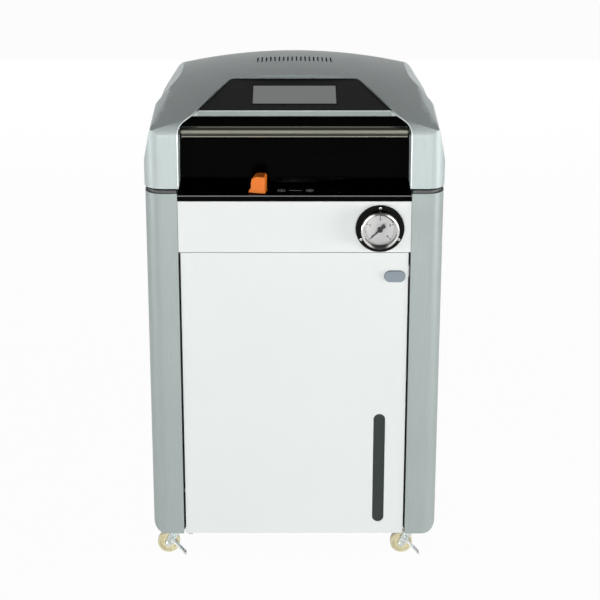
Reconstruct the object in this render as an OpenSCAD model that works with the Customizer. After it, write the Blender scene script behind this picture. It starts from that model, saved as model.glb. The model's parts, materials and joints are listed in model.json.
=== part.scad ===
// Vertical top-loading autoclave on casters, with a hinged lid and a bayonet lock ring.
// Millimetres. X to the right, Y to the rear, Z up. The origin is on the floor,
// under the middle of the machine.

/* [Cabinet] */
// Width across the two side panels
cabinet_w = 478; // [464:1:540]
// Depth from the front face to the rear panel
cabinet_d = 600; // [590:1:680]
// Height of the deck above the floor
deck_h = 650; // [630:1:760]
// Height of the cabinet's underside above the floor
skirt_h = 48; // [46:1:56]
// Width of each silver front column
column_w = 52; // [46:1:56]
// Depth of the columns' inner return
column_d = 26; // [20:1:40]
// Radius of the columns' outer front edge
column_r = 28; // [10:1:34]
// Radius of the side panels' outer lower edge
foot_r = 18; // [6:1:24]
// Height of the columns' tops above the deck
column_rise = 2.5; // [1:0.5:4]
// Wall of the moulded side panels
panel_t = 3; // [2:0.5:4]
// Width of the side panels' rear and top returns
rail_w = 12; // [10:1:13]
// Thickness of the folded sheet parts
sheet_t = 1.5; // [1:0.1:2]
// Thickness of the deck and of the base pan
plate_t = 3; // [2:0.5:4]

/* [Front] */
// Height of the white panel over the door
upper_panel_h = 86; // [82:1:100]
// Height of the deck's folded front lip
deck_lip_h = 9.5; // [6:0.5:14]
// Gap on each side of the door
door_gap = 3.5; // [3:0.5:5]
// Gap over the door
door_top_gap = 1.5; // [1:0.5:3]
// Depth of the door's folded edges
door_d = 20; // [16:1:22]
// How far the door lies behind the columns' front faces
door_setback = 2; // [1:0.5:3]
// Width of the level slot in the door
slot_w = 19.4; // [12:0.2:26]
// Length of the level slot
slot_len = 199; // [120:1:240]
// Distance of the slot's middle from the door's right edge
slot_inset = 42.5; // [32:0.5:60]
// Height of the slot's lower end above the door's lower edge
slot_rise = 22; // [20:1:60]
// Width of the push button
button_w = 34; // [26:1:36]
// Height of the push button
button_h = 19; // [14:1:22]
// Distance of the button's middle from the door's right edge
button_inset = 21.5; // [21:0.5:40]
// Distance of the button's middle below the door's top
button_drop = 40; // [30:1:60]
// Travel of the push button
button_travel = 3; // [2:0.5:4]

/* [Gauge] */
// Radius of the gauge's black flange
gauge_flange_r = 39; // [34:1:41]
// Radius of the gauge's bezel
gauge_bezel_r = 31; // [27:1:32]
// Distance of the gauge's middle from the white panel's right edge
gauge_inset = 50; // [44:1:70]
// Distance of the gauge's middle below the white panel's top
gauge_drop = 45; // [42:1:48]

/* [Chamber] */
// Inner radius of the chamber
chamber_r = 175; // [150:1:176]
// Wall of the chamber
chamber_t = 3; // [2:0.5:4]
// Height of the chamber's floor above the floor of the room
chamber_floor_z = 130; // [124:1:180]
// Place of the chamber's axis behind the middle of the cabinet
chamber_y = -20; // [-24:1:-12]
// Depth of the flange's top face below the deck
flange_drop = 44; // [42:1:60]
// Thickness of the chamber's flange
flange_t = 18; // [14:1:24]

/* [Lock] */
// Number of claws on the ring, and of lugs on the lid
claw_count = 6; // [4:1:8]
// Angle that one claw takes up
claw_angle = 20; // [16:1:22]
// Angle that one lug takes up
lug_angle = 26; // [18:1:26]
// Turn of the lock ring
lock_turn = 26; // [20:1:28]
// Height of a claw
claw_h = 15.6; // [12:0.2:18]
// Thickness of the ring's wall
ring_t = 14; // [10:1:14]
// Radius at which the lever stands
lever_r = 268; // [262:1:268]
// Width of the lever's grip
lever_w = 27; // [20:1:32]
// Height of the lever's grip
lever_h = 35; // [28:1:50]
// Depth of the lever's grip
lever_d = 15; // [10:1:18]

/* [Lid] */
// Width of the lid
lid_w = 480; // [474:1:542]
// Gap between the columns and the lid
lid_gap = 8.5; // [7:0.5:12]
// Height of the lid's crown over its lower edge
lid_h = 138; // [130:1:170]
// Wall of the lid's shell
lid_t = 3; // [2:0.5:4]
// Radius of the crown from side to side
crown_rx = 940; // [800:10:1000]
// Radius of the crown from front to rear
crown_ry = 1300; // [1100:10:1600]
// Depth of the open front between the cheeks
mouth_d = 50; // [44:1:54]
// Width of each cheek beside the open front
cheek_w = 56; // [52:1:62]
// Half width of the control panel at its front
console_front_w = 155; // [130:1:158]
// Half width of the control panel at its rear
console_rear_w = 104; // [80:1:120]
// Length of the control panel, along its slope
console_len = 138; // [100:1:150]
// Slope of the control panel
console_tilt = 7; // [5:0.1:9]
// Height of the silver strip under the control panel
strip_h = 12.5; // [8:0.5:16]
// Diameter of the grab bar
bar_d = 20; // [16:1:26]
// Number of slots in the lid's vent
vent_count = 18; // [10:1:20]

/* [Casters] */
// Diameter of the caster wheels
wheel_d = 38; // [32:1:38]
// Width of the caster wheels
wheel_w = 15; // [10:1:18]
// Offset of the wheel's axle from the swivel axis
caster_trail = 16; // [12:1:20]
// Distance of the swivel axis from the cabinet's side
caster_inset_x = 40; // [39:1:60]
// Distance of the swivel axis from the cabinet's front or rear
caster_inset_y = 30; // [28:1:60]

/* [Hidden] */
$fn = 96;

// One overrun for every cut
over = 1;
// Gap between flat faces that seat on each other
seat = 0.3;
// Gap between neighbouring faces that move
slip = 0.4;
// Radial clearance of a running fit
running = 0.05;
// Angle between the points of a rounded corner
arc_step = 9;
// Radius of a pipe's elbow, as a share of the pipe's radius
elbow_share = 1.4;

// Main planes
half_w = cabinet_w / 2;
front_y = -cabinet_d / 2;
rear_y = cabinet_d / 2;
column_x = half_w - column_w;
column_top = deck_h + column_rise;
inner_x = half_w - panel_t;
rail_x = half_w - rail_w;

// Colours
silver = "#a9b4b1";
white = "#eef2ef";
black = "#16181a";
steel = "#c2c6c8";
dark_steel = "#6f7476";

function unit(v) = v / norm(v);
function half_angle(p, q, s) = acos(unit(p - q) * unit(s - q)) / 2;
function touch(p, q, s, r) = q + unit(p - q) * r / tan(half_angle(p, q, s));
function arc_middle(p, q, s, r) =
  q + unit(unit(p - q) + unit(s - q)) * r / sin(half_angle(p, q, s));
function polar(r, a) = [r * cos(a), r * sin(a)];

// The points of a rounded corner q between its neighbours p and s
function bow(p, q, s, r) =
  let (c = arc_middle(p, q, s, r), a = touch(p, q, s, r) - c, b = touch(s, q, p, r) - c,
       start = atan2(a[1], a[0]), turn = atan2(cross(a, b), a * b),
       steps = max(1, ceil(abs(turn) / arc_step)))
  [for (k = [0:steps]) c + polar(r, start + turn * k / steps)];

// A convex outline with one radius for each corner
module rounded(points, radii) {
  n = len(points);
  polygon([
    for (i = [0:n - 1])
      let (p = points[(i + n - 1) % n], q = points[i], s = points[(i + 1) % n])
      each radii[i] > 0 ? bow(p, q, s, radii[i]) : [q]
  ]);
}

// A box between two corners
module block(low, high) translate(low) cube(high - low);

// An outline in the X-Z plane, drawn from y0 to y1
module along_y(y0, y1) translate([0, y1, 0]) rotate([90, 0, 0]) linear_extrude(y1 - y0) children();

// An outline in the Y-Z plane, drawn from x0 to x1
module along_x(x0, x1) translate([x0, 0, 0]) rotate([90, 0, 90]) linear_extrude(x1 - x0) children();

module disc_y(r, y0, y1) along_y(y0, y1) circle(r = r);
module disc_x(r, x0, x1) along_x(x0, x1) circle(r = r);

module mirrored() {
  children();
  mirror([1, 0, 0]) children();
}

// A pipe through the given corners, with a compression elbow at each
module pipe(route, r) {
  for (i = [0:len(route) - 2])
    let (a = route[i], b = route[i + 1], d = b - a)
      translate(a)
        rotate([0, acos(d[2] / norm(d)), atan2(d[1], d[0])])
          cylinder(r = r, h = norm(d));
  for (i = [1:len(route) - 2])
    let (d = route[i] - route[i - 1])
      translate(route[i])
        rotate([0, acos(d[2] / norm(d)), atan2(d[1], d[0])])
          translate([0, 0, -2 * r * elbow_share])
            cylinder(r = r * elbow_share, h = 3 * r * elbow_share);
}

// A sector of a ring, from angle a0 to a1
module sector(r0, r1, a0, a1, h) rotate([0, 0, a0]) rotate_extrude(angle = a1 - a0)
  translate([r0, 0]) square([r1 - r0, h]);

// Cabinet

// Solid form of the right side panel, t inside its outer faces
module side_form(t) intersection() {
  translate([0, 0, skirt_h + t])
    linear_extrude(column_top - skirt_h - 2 * t)
      rounded(
        [
          [column_x + t, front_y + t], [half_w - t, front_y + t],
          [half_w - t, rear_y - t], [column_x + t, rear_y - t]
        ],
        [0, column_r - t, rail_w - t, 0]
      );
  along_y(front_y, rear_y)
    rounded(
      [
        [column_x, skirt_h + t], [half_w - t, skirt_h + t],
        [half_w - t, column_top - t], [column_x, column_top - t]
      ],
      [0, foot_r - t, 0, 0]
    );
}

module side_panel() color(silver) difference() {
  side_form(0);
  side_form(panel_t);
  block(
    [column_x - over, front_y + column_d, skirt_h - over],
    [rail_x, rear_y + over, column_top + over]
  );
  block(
    [column_x - over, front_y + foot_lip, skirt_h - over],
    [rail_x, front_y + column_d + over, skirt_h + panel_t + over]
  );
}

module side_panel_right() side_panel();
module side_panel_left() mirror([1, 0, 0]) side_panel();

pan_z = skirt_h + panel_t + seat;
pan_top = pan_z + plate_t;
pan_front_y = front_y + column_d + slip;
foot_lip = 12;
pan_rim = 22;
post_w = 20;
post_x = rail_x - post_w - slip;
post_front_y = front_y + column_d + slip;
post_rear_y = rear_y - plate_t - post_w - slip;
deck_under = deck_h - plate_t;

// Section of the pan across the machine, g inside its outer faces
module pan_section(g) rounded(
  [
    [-inner_x + seat + g, pan_z + g], [inner_x - seat - g, pan_z + g],
    [inner_x - seat - g, pan_top + pan_rim + g], [-inner_x + seat + g, pan_top + pan_rim + g]
  ],
  [foot_r - panel_t - g, foot_r - panel_t - g, 0, 0]
);

// The pan's form, g inside its outer faces
module pan_form(g) intersection() {
  along_y(pan_front_y - g, rear_y - plate_t - seat - g) pan_section(g);
  translate([0, 0, skirt_h])
    linear_extrude(pan_top + pan_rim + g)
      rounded(
        [
          [-inner_x + seat + g, front_y], [inner_x - seat - g, front_y],
          [inner_x - seat - g, rear_y - plate_t - seat - g],
          [-inner_x + seat + g, rear_y - plate_t - seat - g]
        ],
        [0, 0, rail_w - g, rail_w - g]
      );
}

module base_frame() color(dark_steel) {
  difference() {
    pan_form(0);
    pan_form(plate_t);
  }
  mirrored() intersection() {
    along_y(front_y, pan_front_y + over) pan_section(0);
    block(
      [column_x + panel_t + slip, front_y + foot_lip + slip, pan_z - over],
      [inner_x, pan_front_y + over, pan_top]
    );
  }
  mirrored() for (y = [post_front_y, post_rear_y])
    block([post_x, y, pan_z + over], [post_x + post_w, y + post_w, deck_under]);
}

slot_n = 9;
vent_x = 110;
vent_pitch = 14;
vent_w = 4;
vent_z = 470;

module rear_panel() color(silver) difference() {
  block([-rail_x + slip, rear_y - plate_t, pan_z], [rail_x - slip, rear_y - slip, deck_under - seat]);
  for (i = [0:slot_n - 1])
    block(
      [-vent_x, rear_y - plate_t - over, vent_z + i * vent_pitch],
      [vent_x, rear_y + over, vent_z + i * vent_pitch + vent_w]
    );
  for (i = [0:slot_n - 1])
    block(
      [fan_x - fan_r * share_w(i), rear_y - plate_t - over, fan_z + (i - (slot_n - 1) / 2) * fan_slot_pitch],
      [fan_x + fan_r * share_w(i), rear_y + over, fan_z + (i - (slot_n - 1) / 2) * fan_slot_pitch + vent_w]
    );
  disc_at(drain_x, port_z, port_r + slip, rear_y);
  disc_at(gland_x, port_z, gland_thread_r + slip, rear_y);
}

// Width of one of the slots over the fan, as a share of its radius
function share_w(i) = cos(asin((i - (slot_n - 1) / 2) / (slot_n / 2)));

module disc_at(x, z, r, y) translate([x, 0, z]) disc_y(r, y - plate_t - over, y + over);

// Radii of the closure, from the chamber outwards
clear_r = 4;
lock_gap = 6;
disc_r = chamber_r + 15;
lug_len = 13;
lug_r = disc_r + lug_len;
ring_bore_r = lug_r + lock_gap;
ring_outer_r = ring_bore_r + ring_t;
claw_r = disc_r + lock_gap;
flange_r = ring_bore_r - slip;
chamber_outer_r = chamber_r + chamber_t;

// Heights of the closure
flange_top = deck_h - flange_drop;
flange_low = flange_top - flange_t;
gasket_gap = 1;
disc_z = flange_top + gasket_gap;
lug_h = 19;
claw_z = disc_z + lug_h + slip;
ring_top = claw_z + claw_h;
retainer_t = 12;
retainer_top = flange_low - slip;
retainer_z = retainer_top - retainer_t;

slot_half = 5.5;
slot_spare = 3;
lever_start = -90 - lock_turn / 2;
deck_hole_r = ring_bore_r + over;

module at_chamber(z = 0) translate([0, chamber_y, z]) children();

module top_deck() color(black) difference() {
  union() {
    block([-rail_x + slip, front_y + column_d + slip, deck_under], [rail_x - slip, rear_y - slip, deck_h]);
    block([-column_x + slip, front_y, deck_under], [column_x - slip, front_y + column_d + 2 * slip, deck_h]);
    block([-column_x + slip, front_y, deck_h - deck_lip_h], [column_x - slip, front_y + sheet_t, deck_h]);
  }
  at_chamber(deck_under - over) cylinder(r = deck_hole_r, h = plate_t + 2 * over, $fn = 180);
  at_chamber(deck_under - over)
    sector(
      lever_r - slot_half, lever_r + slot_half, lever_start - slot_spare,
      lever_start + lock_turn + slot_spare, plate_t + 2 * over
    );
}

upper_top = deck_h - deck_lip_h - slip;
upper_low = upper_top - upper_panel_h;
upper_flange_d = 8;
gauge_x = column_x - slip - gauge_inset;
gauge_z = upper_top - gauge_drop;
gauge_body_r = gauge_bezel_r - 4 * sheet_t;

module front_upper_panel() color(white) difference() {
  block([-column_x + slip, front_y, upper_low], [column_x - slip, front_y + upper_flange_d, upper_top]);
  block(
    [-column_x + slip - over, front_y + sheet_t, upper_low + sheet_t],
    [column_x - slip + over, front_y + upper_flange_d + over, upper_top - sheet_t]
  );
  translate([gauge_x, 0, gauge_z]) disc_y(gauge_body_r + slip, front_y - over, front_y + sheet_t + over);
}

// Gauge
gauge_flange_t = 4;
gauge_body_d = 28;
gauge_screw_r = 2.6;
gauge_screw_ring = (gauge_flange_r + gauge_bezel_r) / 2;
hinge_setback = 10;
knuckle_r = 7;
gauge_out = hinge_setback + knuckle_r;
bezel_wall = 3;
dial_t = 1;
glass_t = 2;
dial_y = front_y - gauge_flange_t;
needle_y = dial_y - dial_t - 2 * sheet_t;
needle_len = 21;
needle_tail = 9;
needle_w = 3;
needle_t = 0.8;
needle_start = 225;
needle_hub_r = 3.4;
needle_pin_r = 1.2;

module at_gauge() translate([gauge_x, 0, gauge_z]) children();

module gauge_case() color(black) at_gauge() {
  difference() {
    union() {
      disc_y(gauge_flange_r, front_y - gauge_flange_t, front_y - seat);
      disc_y(gauge_body_r, front_y - gauge_flange_t, front_y + gauge_body_d);
    }
    disc_y(
      gauge_body_r - 2 * sheet_t,
      front_y - gauge_flange_t + dial_t,
      front_y + gauge_body_d - 2 * sheet_t
    );
  }
  for (a = [90, 210, 330])
    translate([gauge_screw_ring * cos(a), 0, gauge_screw_ring * sin(a)])
      disc_y(gauge_screw_r, front_y - gauge_flange_t - sheet_t, front_y - gauge_flange_t);
  disc_y(needle_pin_r, needle_y - needle_t - over, front_y);
}

module gauge_bezel() color(steel) at_gauge() difference() {
  disc_y(gauge_bezel_r, front_y - gauge_out, dial_y - seat / 2);
  disc_y(gauge_bezel_r - bezel_wall, dial_y - gauge_out, front_y);
}

module gauge_dial() color(white) at_gauge() difference() {
  disc_y(gauge_bezel_r - bezel_wall - slip, dial_y - dial_t, dial_y - seat / 2);
  disc_y(needle_pin_r + slip, dial_y - dial_t - over, dial_y + over);
}

module gauge_glass() color([0.8, 0.9, 0.95, 0.35]) at_gauge()
  disc_y(
    gauge_bezel_r - bezel_wall - seat / 2,
    front_y - gauge_out + 2 * sheet_t,
    front_y - gauge_out + 2 * sheet_t + glass_t
  );

module gauge_needle() color(black) at_gauge() difference() {
  union() {
    disc_y(needle_hub_r, needle_y - needle_t, needle_y);
    rotate([0, -needle_start, 0])
      along_y(needle_y - needle_t, needle_y)
        polygon([
          [needle_len, 0], [0, needle_w / 2], [-needle_tail, needle_w / 2],
          [-needle_tail, -needle_w / 2], [0, -needle_w / 2]
        ]);
  }
  disc_y(needle_pin_r + running, needle_y - 2 * needle_t, needle_y + needle_t);
}

// Chamber
dish_r = 30;
leg_r = 9;
leg_ring_share = 0.8;
drain_hole_r = 9;

module chamber() color(steel) at_chamber() {
  difference() {
    union() {
      cylinder(r = chamber_outer_r, h = flange_top, $fn = 180);
      translate([0, 0, flange_low]) cylinder(r = flange_r, h = flange_t, $fn = 180);
    }
    translate([0, 0, chamber_floor_z]) cylinder(r = chamber_r, h = flange_top, $fn = 180);
    translate([0, 0, -over]) cylinder(r = flange_r, h = chamber_floor_z - chamber_t + over);
    cylinder(r = drain_hole_r, h = chamber_floor_z + over);
  }
  for (a = [45:90:315])
    rotate([0, 0, a])
      translate([chamber_r * leg_ring_share, 0, pan_top])
        cylinder(r = leg_r, h = chamber_floor_z - chamber_t - pan_top);
}

jacket_t = 26;
jacket_z = chamber_floor_z + 2 * jacket_t;
guide_gap = 14;
jacket_top = retainer_z - guide_gap;

module chamber_jacket() color(dark_steel) at_chamber(jacket_z) difference() {
  cylinder(r = chamber_outer_r + jacket_t, h = jacket_top - jacket_z, $fn = 180);
  translate([0, 0, -over]) cylinder(r = chamber_outer_r + seat, h = jacket_top, $fn = 180);
  rotate([0, 0, 45])
    translate([chamber_r, 0, vent_port_z - jacket_z])
      rotate([0, 90, 0]) cylinder(r = pipe_r + slip, h = 2 * jacket_t);
}

heater_r = 6;
heater_ring_share = 0.62;
heater_z = chamber_floor_z + 3 * heater_r;
heater_foot_r = 7;

module heater_element() color(dark_steel) at_chamber() {
  translate([0, 0, heater_z])
    rotate_extrude() translate([chamber_r * heater_ring_share, 0]) circle(r = heater_r);
  for (a = [60, 180, 300])
    rotate([0, 0, a])
      translate([chamber_r * heater_ring_share, 0, chamber_floor_z])
        cylinder(r = heater_foot_r, h = heater_z - chamber_floor_z - heater_r / 2);
}

rack_z = heater_z + 4 * heater_r;
rack_t = 2;
rack_hole_r = 6;
rack_leg_r = 5;
rack_rings = 3;

module chamber_rack() color(steel) at_chamber() {
  difference() {
    translate([0, 0, rack_z]) cylinder(r = chamber_r - 2 * slip, h = rack_t, $fn = 180);
    for (j = [1:rack_rings], i = [0:6 * j - 1])
      rotate([0, 0, i * 60 / j])
        translate([j * chamber_r / (rack_rings + 1), 0, rack_z - over])
          cylinder(r = rack_hole_r, h = rack_t + 2 * over);
  }
  for (a = [30, 150, 270])
    rotate([0, 0, a])
      translate([chamber_r * 7 / 8, 0, chamber_floor_z])
        cylinder(r = rack_leg_r, h = rack_z - chamber_floor_z);
}

basket_z = rack_z + rack_t + seat;
basket_r = chamber_r - 3 * clear_r;
basket_top = flange_top - 4 * clear_r;
basket_t = 2;
basket_slot_w = 16;
basket_slots = 12;
basket_band = 26;
basket_rim_r = 3;
basket_row_h = (basket_top - basket_z - basket_band) / 2;

module wire_basket() color(steel) at_chamber() {
  difference() {
    translate([0, 0, basket_z]) cylinder(r = basket_r, h = basket_top - basket_z, $fn = 180);
    translate([0, 0, basket_z + basket_t]) cylinder(r = basket_r - basket_t, h = basket_top, $fn = 180);
    for (i = [0:basket_slots - 1], row = [0, 1])
      rotate([0, 0, i * 360 / basket_slots / 2])
        translate([0, 0, basket_z + row * basket_row_h])
          block(
            [-basket_r - over, -basket_slot_w / 2, basket_band],
            [basket_r + over, basket_slot_w / 2, basket_row_h]
          );
  }
  translate([0, 0, basket_top])
    rotate_extrude() translate([basket_r - basket_t / 2, 0]) circle(r = basket_rim_r);
}

// Pipework
pipe_r = 5;
port_r = 8;
port_flange_r = 12;
port_len = 16;
port_z = 96;
drain_x = -150;
valve_x = -130;
valve_y = -232;
valve_r = 15;
valve_len = 50;
valve_stem_r = 4;
valve_lever_len = 62;
valve_lever_w = 12;
valve_lever_t = 4;
vent_drop = 130;
vent_port_z = deck_h - vent_drop;
bottle_r = 36;
bottle_wall = 2.5;
bottle_x = column_x - door_gap - slot_inset;
bottle_y = pan_front_y + slip + bottle_r + 3 * sheet_t;
bottle_h = 200;
bottle_neck_r = 17;
bottle_neck_h = 14;
cap_r = 22;
cap_h = 18;
pipe_side_x = inner_x - 2 * pipe_r;

module drain_pipe() color(steel) {
  pipe(
    [
      [0, chamber_y, chamber_floor_z - chamber_t - seat], [0, chamber_y, port_z],
      [0, valve_y, port_z], [valve_x + valve_len / 2 + seat, valve_y, port_z]
    ],
    pipe_r
  );
  pipe(
    [
      [valve_x - valve_len / 2 - seat, valve_y, port_z], [-pipe_side_x + post_w, valve_y, port_z],
      [-pipe_side_x + post_w, chamber_y, port_z], [drain_x, rear_y - 2 * post_w, port_z],
      [drain_x, rear_y - post_w, port_z], [drain_x, rear_y, port_z]
    ],
    pipe_r
  );
  translate([drain_x, 0, port_z]) {
    disc_y(pipe_r, rear_y - over, rear_y + port_len);
    disc_y(port_flange_r, rear_y + seat, rear_y + seat + plate_t);
    disc_y(port_r, rear_y + plate_t, rear_y + port_len);
  }
}

module drain_valve() color("#b8a468") {
  translate([valve_x, valve_y, port_z]) {
    disc_x(valve_r, -valve_len / 2, valve_len / 2);
    cylinder(r = valve_r / 2, h = valve_r + 2 * pipe_r);
    cylinder(r = valve_stem_r, h = valve_r + 2 * pipe_r + 2 * valve_lever_t);
    translate([0, 0, pan_top - port_z]) cylinder(r = valve_r / 2, h = port_z - pan_top);
  }
}

lever_seat_z = port_z + valve_r + 2 * pipe_r + slip;

module drain_lever() color("#b03a2e") translate([valve_x, valve_y, lever_seat_z]) difference() {
  union() {
    cylinder(r = valve_lever_w / 2 + sheet_t, h = valve_lever_t);
    block([0, -valve_lever_w / 2, 0], [valve_lever_len, valve_lever_w / 2, valve_lever_t]);
    translate([valve_lever_len, 0, 0]) cylinder(r = valve_lever_w / 2, h = valve_lever_t);
  }
  translate([0, 0, -over]) cylinder(r = valve_stem_r + running, h = valve_lever_t + 2 * over);
}

module at_bottle(z) translate([bottle_x, bottle_y, z]) children();

module exhaust_bottle() color([0.85, 0.88, 0.86, 0.6]) at_bottle(pan_top + seat) difference() {
  union() {
    cylinder(r = bottle_r, h = bottle_h);
    cylinder(r = bottle_neck_r, h = bottle_h + bottle_neck_h);
  }
  translate([0, 0, bottle_wall]) cylinder(r = bottle_r - bottle_wall, h = bottle_h - 2 * bottle_wall);
  translate([0, 0, bottle_wall]) cylinder(r = bottle_neck_r - bottle_wall, h = bottle_h + bottle_neck_h);
}

bottle_top = pan_top + seat + bottle_h + bottle_neck_h;

module exhaust_bottle_cap() color(black) at_bottle(bottle_top - cap_h + 2 * bottle_wall) difference() {
  cylinder(r = cap_r, h = cap_h);
  translate([0, 0, -2 * bottle_wall]) cylinder(r = bottle_neck_r + seat, h = cap_h);
  translate([0, 0, -over]) cylinder(r = pipe_r + seat, h = cap_h + 2 * over);
}

port_reach = chamber_outer_r + jacket_t + 4 * pipe_r;

module exhaust_pipe() color(steel) pipe(
  [
    [(chamber_outer_r + seat) * cos(45), chamber_y + (chamber_outer_r + seat) * sin(45), vent_port_z],
    [port_reach * cos(45), chamber_y + port_reach * sin(45), vent_port_z],
    [pipe_side_x, chamber_y + port_reach * sin(45) + 2 * pipe_r, vent_port_z],
    [pipe_side_x, bottle_y, vent_port_z],
    [pipe_side_x, bottle_y, bottle_top + cap_h + 4 * pipe_r],
    [bottle_x, bottle_y, bottle_top + cap_h + 4 * pipe_r],
    [bottle_x, bottle_y, bottle_top - cap_h]
  ],
  pipe_r
);

safety_a = 135;
safety_r = 11;
safety_h = 62;
safety_nut_share = 1.3;
safety_stem_share = 0.7;

module safety_valve() color("#b8a468") at_chamber(vent_port_z) {
  rotate([0, 0, safety_a]) {
    rotate([0, 90, 0])
      translate([0, 0, chamber_outer_r + jacket_t + seat]) cylinder(r = pipe_r, h = 6 * pipe_r);
    translate([port_reach + 2 * pipe_r, 0, -safety_r]) {
      cylinder(r = safety_r, h = safety_h);
      cylinder(r = safety_r * safety_stem_share, h = safety_h + safety_r);
      cylinder(r = safety_r * safety_nut_share, h = safety_r, $fn = 6);
    }
  }
}

// Rear fittings
control_w = 300;
control_d = 78;
control_z = 190;
control_h = 250;
fan_w = 92;
fan_d = 25;
fan_x = 0;
fan_z = 128;
fan_r = 42;
fan_slot_pitch = 9;
fan_hub_r = 17;
fan_shaft_r = 3;
fan_blades = 7;
fan_blade_t = 2;
fan_pitch = 35;
gland_x = 150;
gland_r = 12;
gland_thread_r = 8;
gland_bore_r = 5;

module control_box() color(dark_steel) {
  block(
    [-control_w / 2, rear_y - plate_t - seat - control_d, control_z],
    [control_w / 2, rear_y - plate_t - seat, control_z + control_h]
  );
}

fan_y = rear_y - plate_t - seat;

module fan_frame() color(black) translate([fan_x, 0, fan_z]) {
  difference() {
    block([-fan_w / 2, fan_y - fan_d, -fan_w / 2], [fan_w / 2, fan_y, fan_w / 2]);
    disc_y(fan_r, fan_y - fan_d - over, fan_y + over);
  }
  disc_y(fan_hub_r, fan_y - plate_t, fan_y);
  disc_y(fan_shaft_r, fan_y - fan_d + plate_t, fan_y);
  for (a = [0, 120, 240])
    rotate([0, a + 30, 0])
      block([0, fan_y - plate_t, -plate_t], [fan_r + over, fan_y, plate_t]);
}

module fan_rotor() color(dark_steel) translate([fan_x, 0, fan_z]) difference() {
  union() {
    disc_y(fan_hub_r, fan_y - fan_d + plate_t, fan_y - plate_t - slip);
    for (i = [0:fan_blades - 1])
      rotate([0, i * 360 / fan_blades, 0])
        translate([fan_r / 2, fan_y - fan_d / 2, 0])
          rotate([fan_pitch, 0, 0])
            cube([fan_r - 4 * slip, fan_d / 2, fan_blade_t], center = true);
  }
  disc_y(fan_shaft_r + running, fan_y - fan_d, fan_y);
}

module cord_gland() color(black) translate([gland_x, 0, port_z]) difference() {
  union() {
    along_y(rear_y, rear_y + port_len / 2) circle(r = gland_r, $fn = 6);
    disc_y(gland_thread_r + sheet_t, rear_y, rear_y + port_len);
    disc_y(gland_thread_r, rear_y - plate_t - port_len / 2, rear_y + port_len);
  }
  disc_y(gland_bore_r, rear_y - plate_t - port_len, rear_y + port_len + over);
}

// Lid hinge
lid_z = column_top + lid_gap;
lid_half_w = lid_w / 2;
hinge_y = rear_y + hinge_setback;
hinge_z = (column_top + lid_z) / 2;
hinge_pin_r = 4;
hinge_x = 120;
knuckle_w = 26;
leaf_t = 3;
leaf_h = 44;
web_share = 0.8;
pin_half = hinge_x + 2 * knuckle_w;

// One hinge knuckle with its web to the plane of a leaf; up is 1 or -1
module knuckle(x0, x1, up) {
  translate([0, hinge_y, hinge_z]) difference() {
    union() {
      disc_x(knuckle_r, x0, x1);
      along_x(x0, x1)
        polygon([
          [0, 0], [knuckle_r, 0], [-hinge_setback + leaf_t, up * 2 * knuckle_r],
          [-hinge_setback + seat, up * 2 * knuckle_r], [-hinge_setback + seat, up * knuckle_r * web_share]
        ]);
    }
    disc_x(hinge_pin_r + running, x0 - over, x1 + over);
  }
  block(
    [x0, rear_y + seat, hinge_z + (up > 0 ? knuckle_r : -leaf_h)],
    [x1, rear_y + seat + leaf_t, hinge_z + (up > 0 ? leaf_h : -knuckle_r)]
  );
}

module hinge_brackets() color(dark_steel) for (side = [-1, 1], end = [-1, 1])
  let (x = side * hinge_x + end * (knuckle_w + slip))
    knuckle(x - knuckle_w / 2, x + knuckle_w / 2, -1);

module hinge_pin() color(steel) translate([0, hinge_y, hinge_z]) {
  disc_x(hinge_pin_r, -pin_half, pin_half);
  for (side = [-1, 1])
    translate([side * (pin_half + sheet_t), 0, 0]) disc_x(hinge_pin_r + sheet_t, -sheet_t, sheet_t);
}

// Lid
crown_y = -100;
front_edge_h = 99;
front_edge_z = lid_z + front_edge_h;
side_lean_z = 39;
side_lean = 11;
edge_z = 96;
edge_rise = 33;
edge_run = 39;
lean_r = 60;
edge_r = 20;
brow_r = 25;
brow_run = 80;
brow_rise = 35;
nape_z = 69;
nape_run = 70;
nape_rise = 90;
nape_r = 30;
plan_rear_r = 40;
lid_above = 40;
lid_top_z = lid_z + lid_h + lid_above;

// Everything under the crowned roof
module crown(t) translate([0, crown_y, lid_z + lid_h - crown_ry]) rotate([0, 90, 0])
  rotate_extrude($fn = 240) intersection() {
    translate([crown_ry - crown_rx, 0]) circle(r = crown_rx - t, $fn = 240);
    translate([crown_ry / 2, -lid_w]) square([crown_ry, 2 * lid_w]);
  }

scoop_r = 638;
scoop_y = -20;
scoop_z = 44;
scoop_lean = 33.5;
scoop_fall = 6;

// The hollowed flank at the rear of the lid's right side
module scoop(t) translate([lid_half_w, scoop_y, lid_z + scoop_z]) rotate([-scoop_fall, 0, 0])
  rotate([0, -scoop_lean, 0]) {
    intersection() {
      translate([scoop_r, 0, -scoop_r]) cylinder(r = scoop_r + t, h = 2 * scoop_r, $fn = 240);
      block([-scoop_r, -scoop_r, -scoop_r], [scoop_r, 0, scoop_r]);
    }
    block([-t, 0, -scoop_r], [scoop_r, scoop_r, scoop_r]);
  }

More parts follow.
